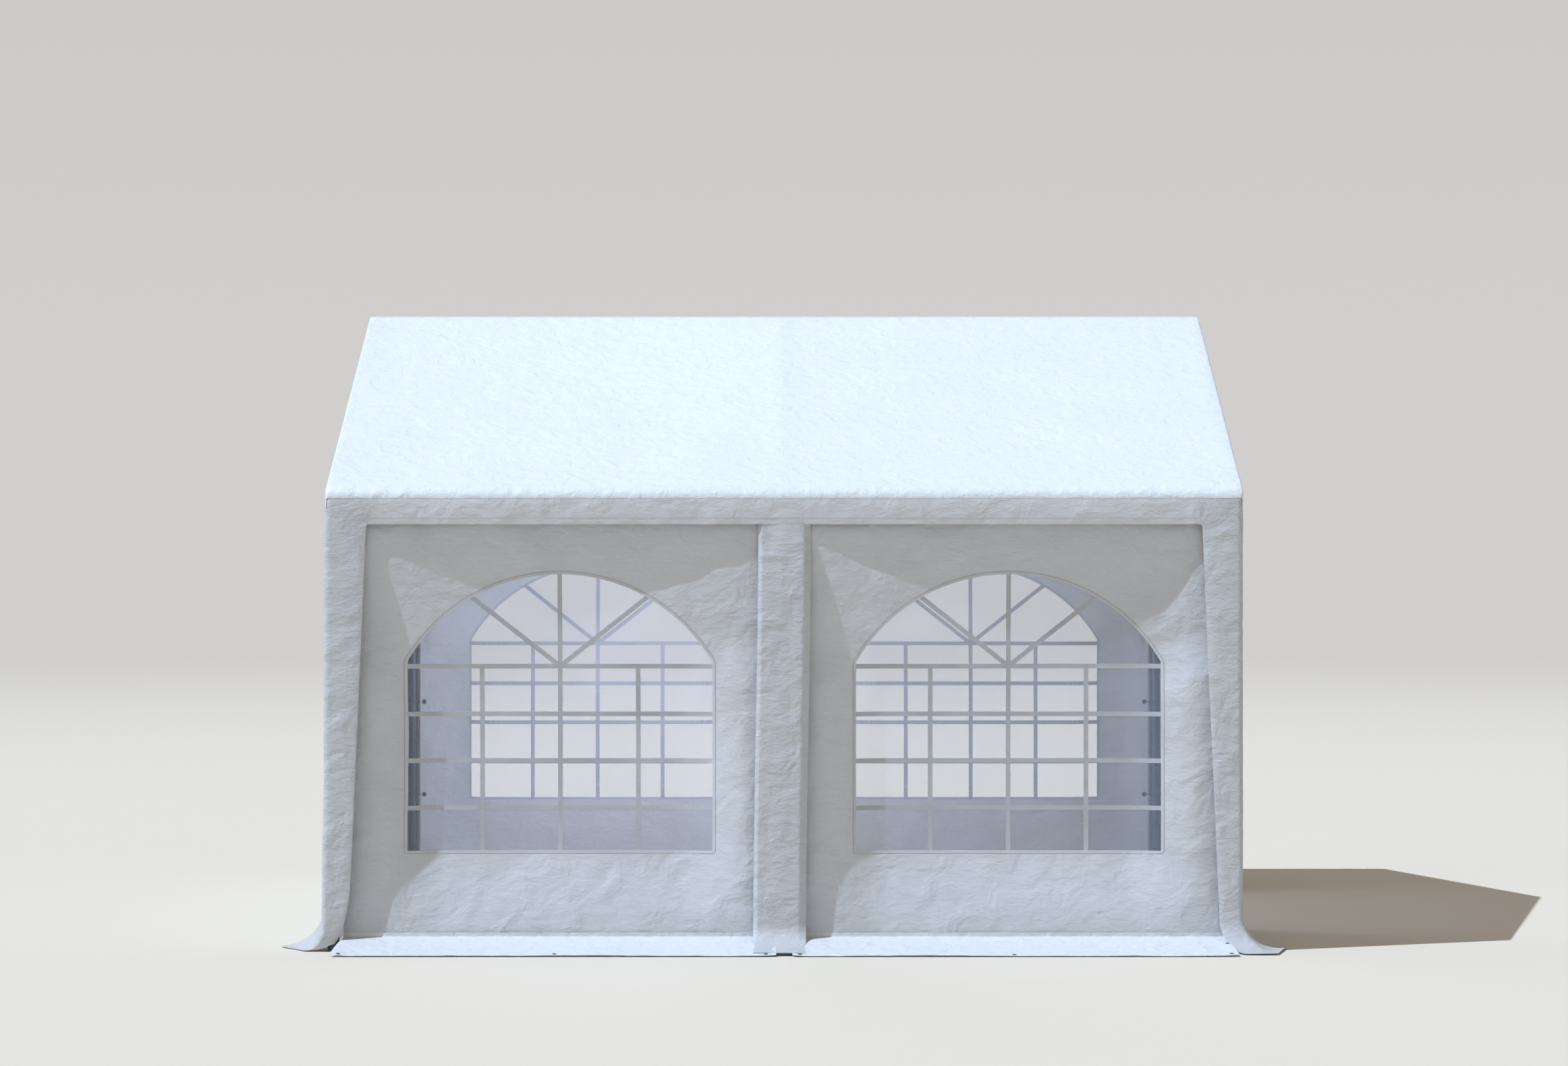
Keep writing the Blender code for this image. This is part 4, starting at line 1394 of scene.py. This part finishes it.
def makeLoops():
    rings, lines = [], []
    for side, sign in sides.items():
        for bay, (left, right) in bays.items():
            surface = panelSurface(side, bay)
            places = []
            for x, way in ((left + eyelets["wallInset"], -1), (right - eyelets["wallInset"], 1)):
                postX = round((x + way * 0.06) / tent["legPlace"]) * tent["legPlace"]
                post = (postX, sign * tent["legPlace"])
                for z in eyelets["wallHeights"]:
                    places.append([(x, z)])
                    if z < loops["top"]:
                        lines.append(loopLine(post, x, surface(x, z)[1], z, sign))
            rings.append(growEyelets(places, eyelets["wallRadius"], surface, -sign))
    settle(joined("wall-eyelets", rings))
    cords = grow(cordTree, lines, {
        "Radius": loops["radius"], "Step": 0.006, "Sides": 8, "Finish": materials["elastic"]}, closed=True)
    settle(link("elastic-loops", cords))


makeLoops()
print("eyelets and loops made")


# Frame: the tubes and fittings stay as they are and get their zinc, the tubes darkened as painted shade; a
# bolt pins each tube in its sleeve
fixings = {
    "place": 0.085,  # from the joint's centre along the tube
    "seat": 0.0278,  # from the tube's middle out to the bolt
    "head": 0.0075,
    "eaveJointZ": 1.9908,
    "ridgeJointZ": 2.8359,
    "plateTop": 0.0052,
    "plateBolt": 0.058,  # from a corner leg's middle to the bolts of its foot plate
    "middlePlateBolt": (0.038, 0.045),  # the same for the middle legs, along and across
}


def makeBolts():
    points, aims = [], []
    beside, inwards = fixings["middlePlateBolt"]
    tilt = math.atan(slope)
    level, rise = math.cos(tilt), math.sin(tilt)

    def pin(centre, along, aim):
        centre, along, aim = Vector(centre), Vector(along), Vector(aim)
        points.append([centre + along * fixings["place"] + aim * fixings["seat"]])
        aims.append(aim)

    for x in (-tent["legPlace"], 0.0, tent["legPlace"]):
        ways = [1] if x < 0 else [-1] if x > 0 else [-1, 1]
        for sign in sides.values():
            eave = (x, sign * tent["legPlace"], fixings["eaveJointZ"])
            pin(eave, (0, 0, -1), (0, -sign, 0))
            pin(eave, (0, -sign * level, rise), (0, -sign * rise, -level))
            pin((x, 0, fixings["ridgeJointZ"]), (0, sign * level, -rise), (0, -sign * rise, -level))
            for way in ways:
                pin(eave, (way, 0, 0), (0, -sign, 0))
            spots = [(ways[0] * fixings["plateBolt"], 0.0), (0.0, -sign * fixings["plateBolt"])]
            if x == 0:
                spots = [(way * beside, -sign * inwards) for way in (1, -1)]
            for plateX, plateY in spots:
                points.append([(x + plateX, sign * tent["legPlace"] + plateY, fixings["plateTop"])])
                aims.append((0, 0, 1))
        for way in ways:
            pin((x, 0, fixings["ridgeJointZ"]), (way, 0, 0), (0, 0, -1))
    bolts = grow(boltTree, points, {"Head": fixings["head"], "Finish": materials["bolt"]}, aims=aims)
    settle(link("bolts", bolts))


def finishFrame():
    for name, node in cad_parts.items():
        finish = "fitting" if "joint" in name else "tube"
        if any(word in name for word in ("joint", "leg", "rail", "rafter")):
            for materialSlot in node.material_slots:
                materialSlot.material = materials[finish]


makeBolts()
finishFrame()
print("frame finished")


# Stage: a pale floor that fades out, soft light all round, a sun from the front left and a soft lamp inside
light = {
    "horizon": "D0CFCE",
    "zenith": "A8A5A2",
    "sunStrength": 4.6,
    "sunColour": "D3E5FF",
    "sunAngle": 0.35,
    "toward": (0.5176, 0.2153, -0.8282),
    "fill": 85.0,
    "fillPlace": (-0.55, 0.1, 1.4),
    "fillSize": 0.7,
    "fillColour": "DCE5FF",
}
ground = {
    "colour": "D3C8B6",
    "half": 50,
    "step": 10,
    "level": -0.0008,
    "fadeStart": 9.0,
    "fadeEnd": 44.0,
}
view = {
    "lens": 96.49,
    "sensor": 36,
    "place": (-0.001, -20.3, 1.83),
    "tilt": -0.02,  # degrees up from level
    "farthest": 200,
}


def addLamp(name, kind, strength, hexCode):
    lamp = bpy.data.lights.new(name, kind)
    lamp.energy = strength
    lamp.color = colour(hexCode)[:3]
    return lamp, link(name, lamp)


def makeStage():
    world = bpy.data.worlds.new("studio")
    scene.world = world
    world.use_nodes = True
    tree = world.node_tree
    tree.nodes.clear()
    toSky = addNode(tree, "ShaderNodeTexCoord").outputs["Generated"]
    way = addNode(tree, "ShaderNodeSeparateXYZ", {"Vector": toSky})
    height = addNode(tree, "ShaderNodeMapRange", {
        "Value": way.outputs["Z"], "From Min": 0.02, "From Max": 0.5}, interpolation_type="SMOOTHSTEP")
    shade = addNode(tree, "ShaderNodeMix", {
        "Factor": height, 6: colour(light["horizon"]), 7: colour(light["zenith"])}, data_type="RGBA")
    sky = addNode(tree, "ShaderNodeBackground", {"Color": shade})
    addNode(tree, "ShaderNodeOutputWorld", {"Surface": sky})
    sun, sunPlace = addLamp("key light", "SUN", light["sunStrength"], light["sunColour"])
    sun.angle = math.radians(light["sunAngle"])
    sunPlace.rotation_euler = Vector(light["toward"]).to_track_quat("-Z", "Y").to_euler()
    # A weak soft lamp inside stands in for the light that goes back and forth between the white walls
    fill, fillPlace = addLamp("inner fill", "POINT", light["fill"], light["fillColour"])
    fill.shadow_soft_size = light["fillSize"]
    fillPlace.location = light["fillPlace"]
    fillPlace.visible_camera = False


def makeFloor():
    across = steps(-ground["half"], ground["half"], ground["step"])
    points, faces = gridPattern(across, across)
    mesh = bpy.data.meshes.new("floor")
    mesh.from_pydata([(x, y, ground["level"]) for x, y in points], [], faces)
    floor = link("floor", mesh)
    material, tree = newMaterial("pale studio floor")
    place = addNode(tree, "ShaderNodeTexCoord").outputs["Object"]
    distance = addNode(tree, "ShaderNodeVectorMath", {0: place}, operation="LENGTH")
    fade = addNode(tree, "ShaderNodeMapRange", {
        "Value": distance, "From Min": ground["fadeStart"], "From Max": ground["fadeEnd"]
    }, interpolation_type="SMOOTHSTEP")
    grain = addNode(tree, "ShaderNodeTexNoise", {"Vector": place, "Scale": 60.0, "Detail": 4})
    bump = addNode(tree, "ShaderNodeBump", {"Strength": 0.15, "Distance": 0.002, "Height": grain})
    paint = addNode(tree, "ShaderNodeBsdfPrincipled", {
        "Base Color": colour(ground["colour"]), "Roughness": 0.85, "Normal": bump})
    clear = addNode(tree, "ShaderNodeBsdfTransparent")
    both = addNode(tree, "ShaderNodeMixShader", {"Fac": fade, 1: paint, 2: clear})
    addNode(tree, "ShaderNodeOutputMaterial", {"Surface": both})
    mesh.materials.append(material)


def makeCamera():
    camera = bpy.data.cameras.new("camera")
    camera.lens = view["lens"]
    camera.sensor_width = view["sensor"]
    camera.clip_end = view["farthest"]
    scene.camera = link("camera", camera)
    scene.camera.location = view["place"]
    scene.camera.rotation_euler = (math.radians(90 + view["tilt"]), 0, 0)


makeStage()
makeFloor()
makeCamera()
scene.view_settings.view_transform = "Standard"
print("scene ready")
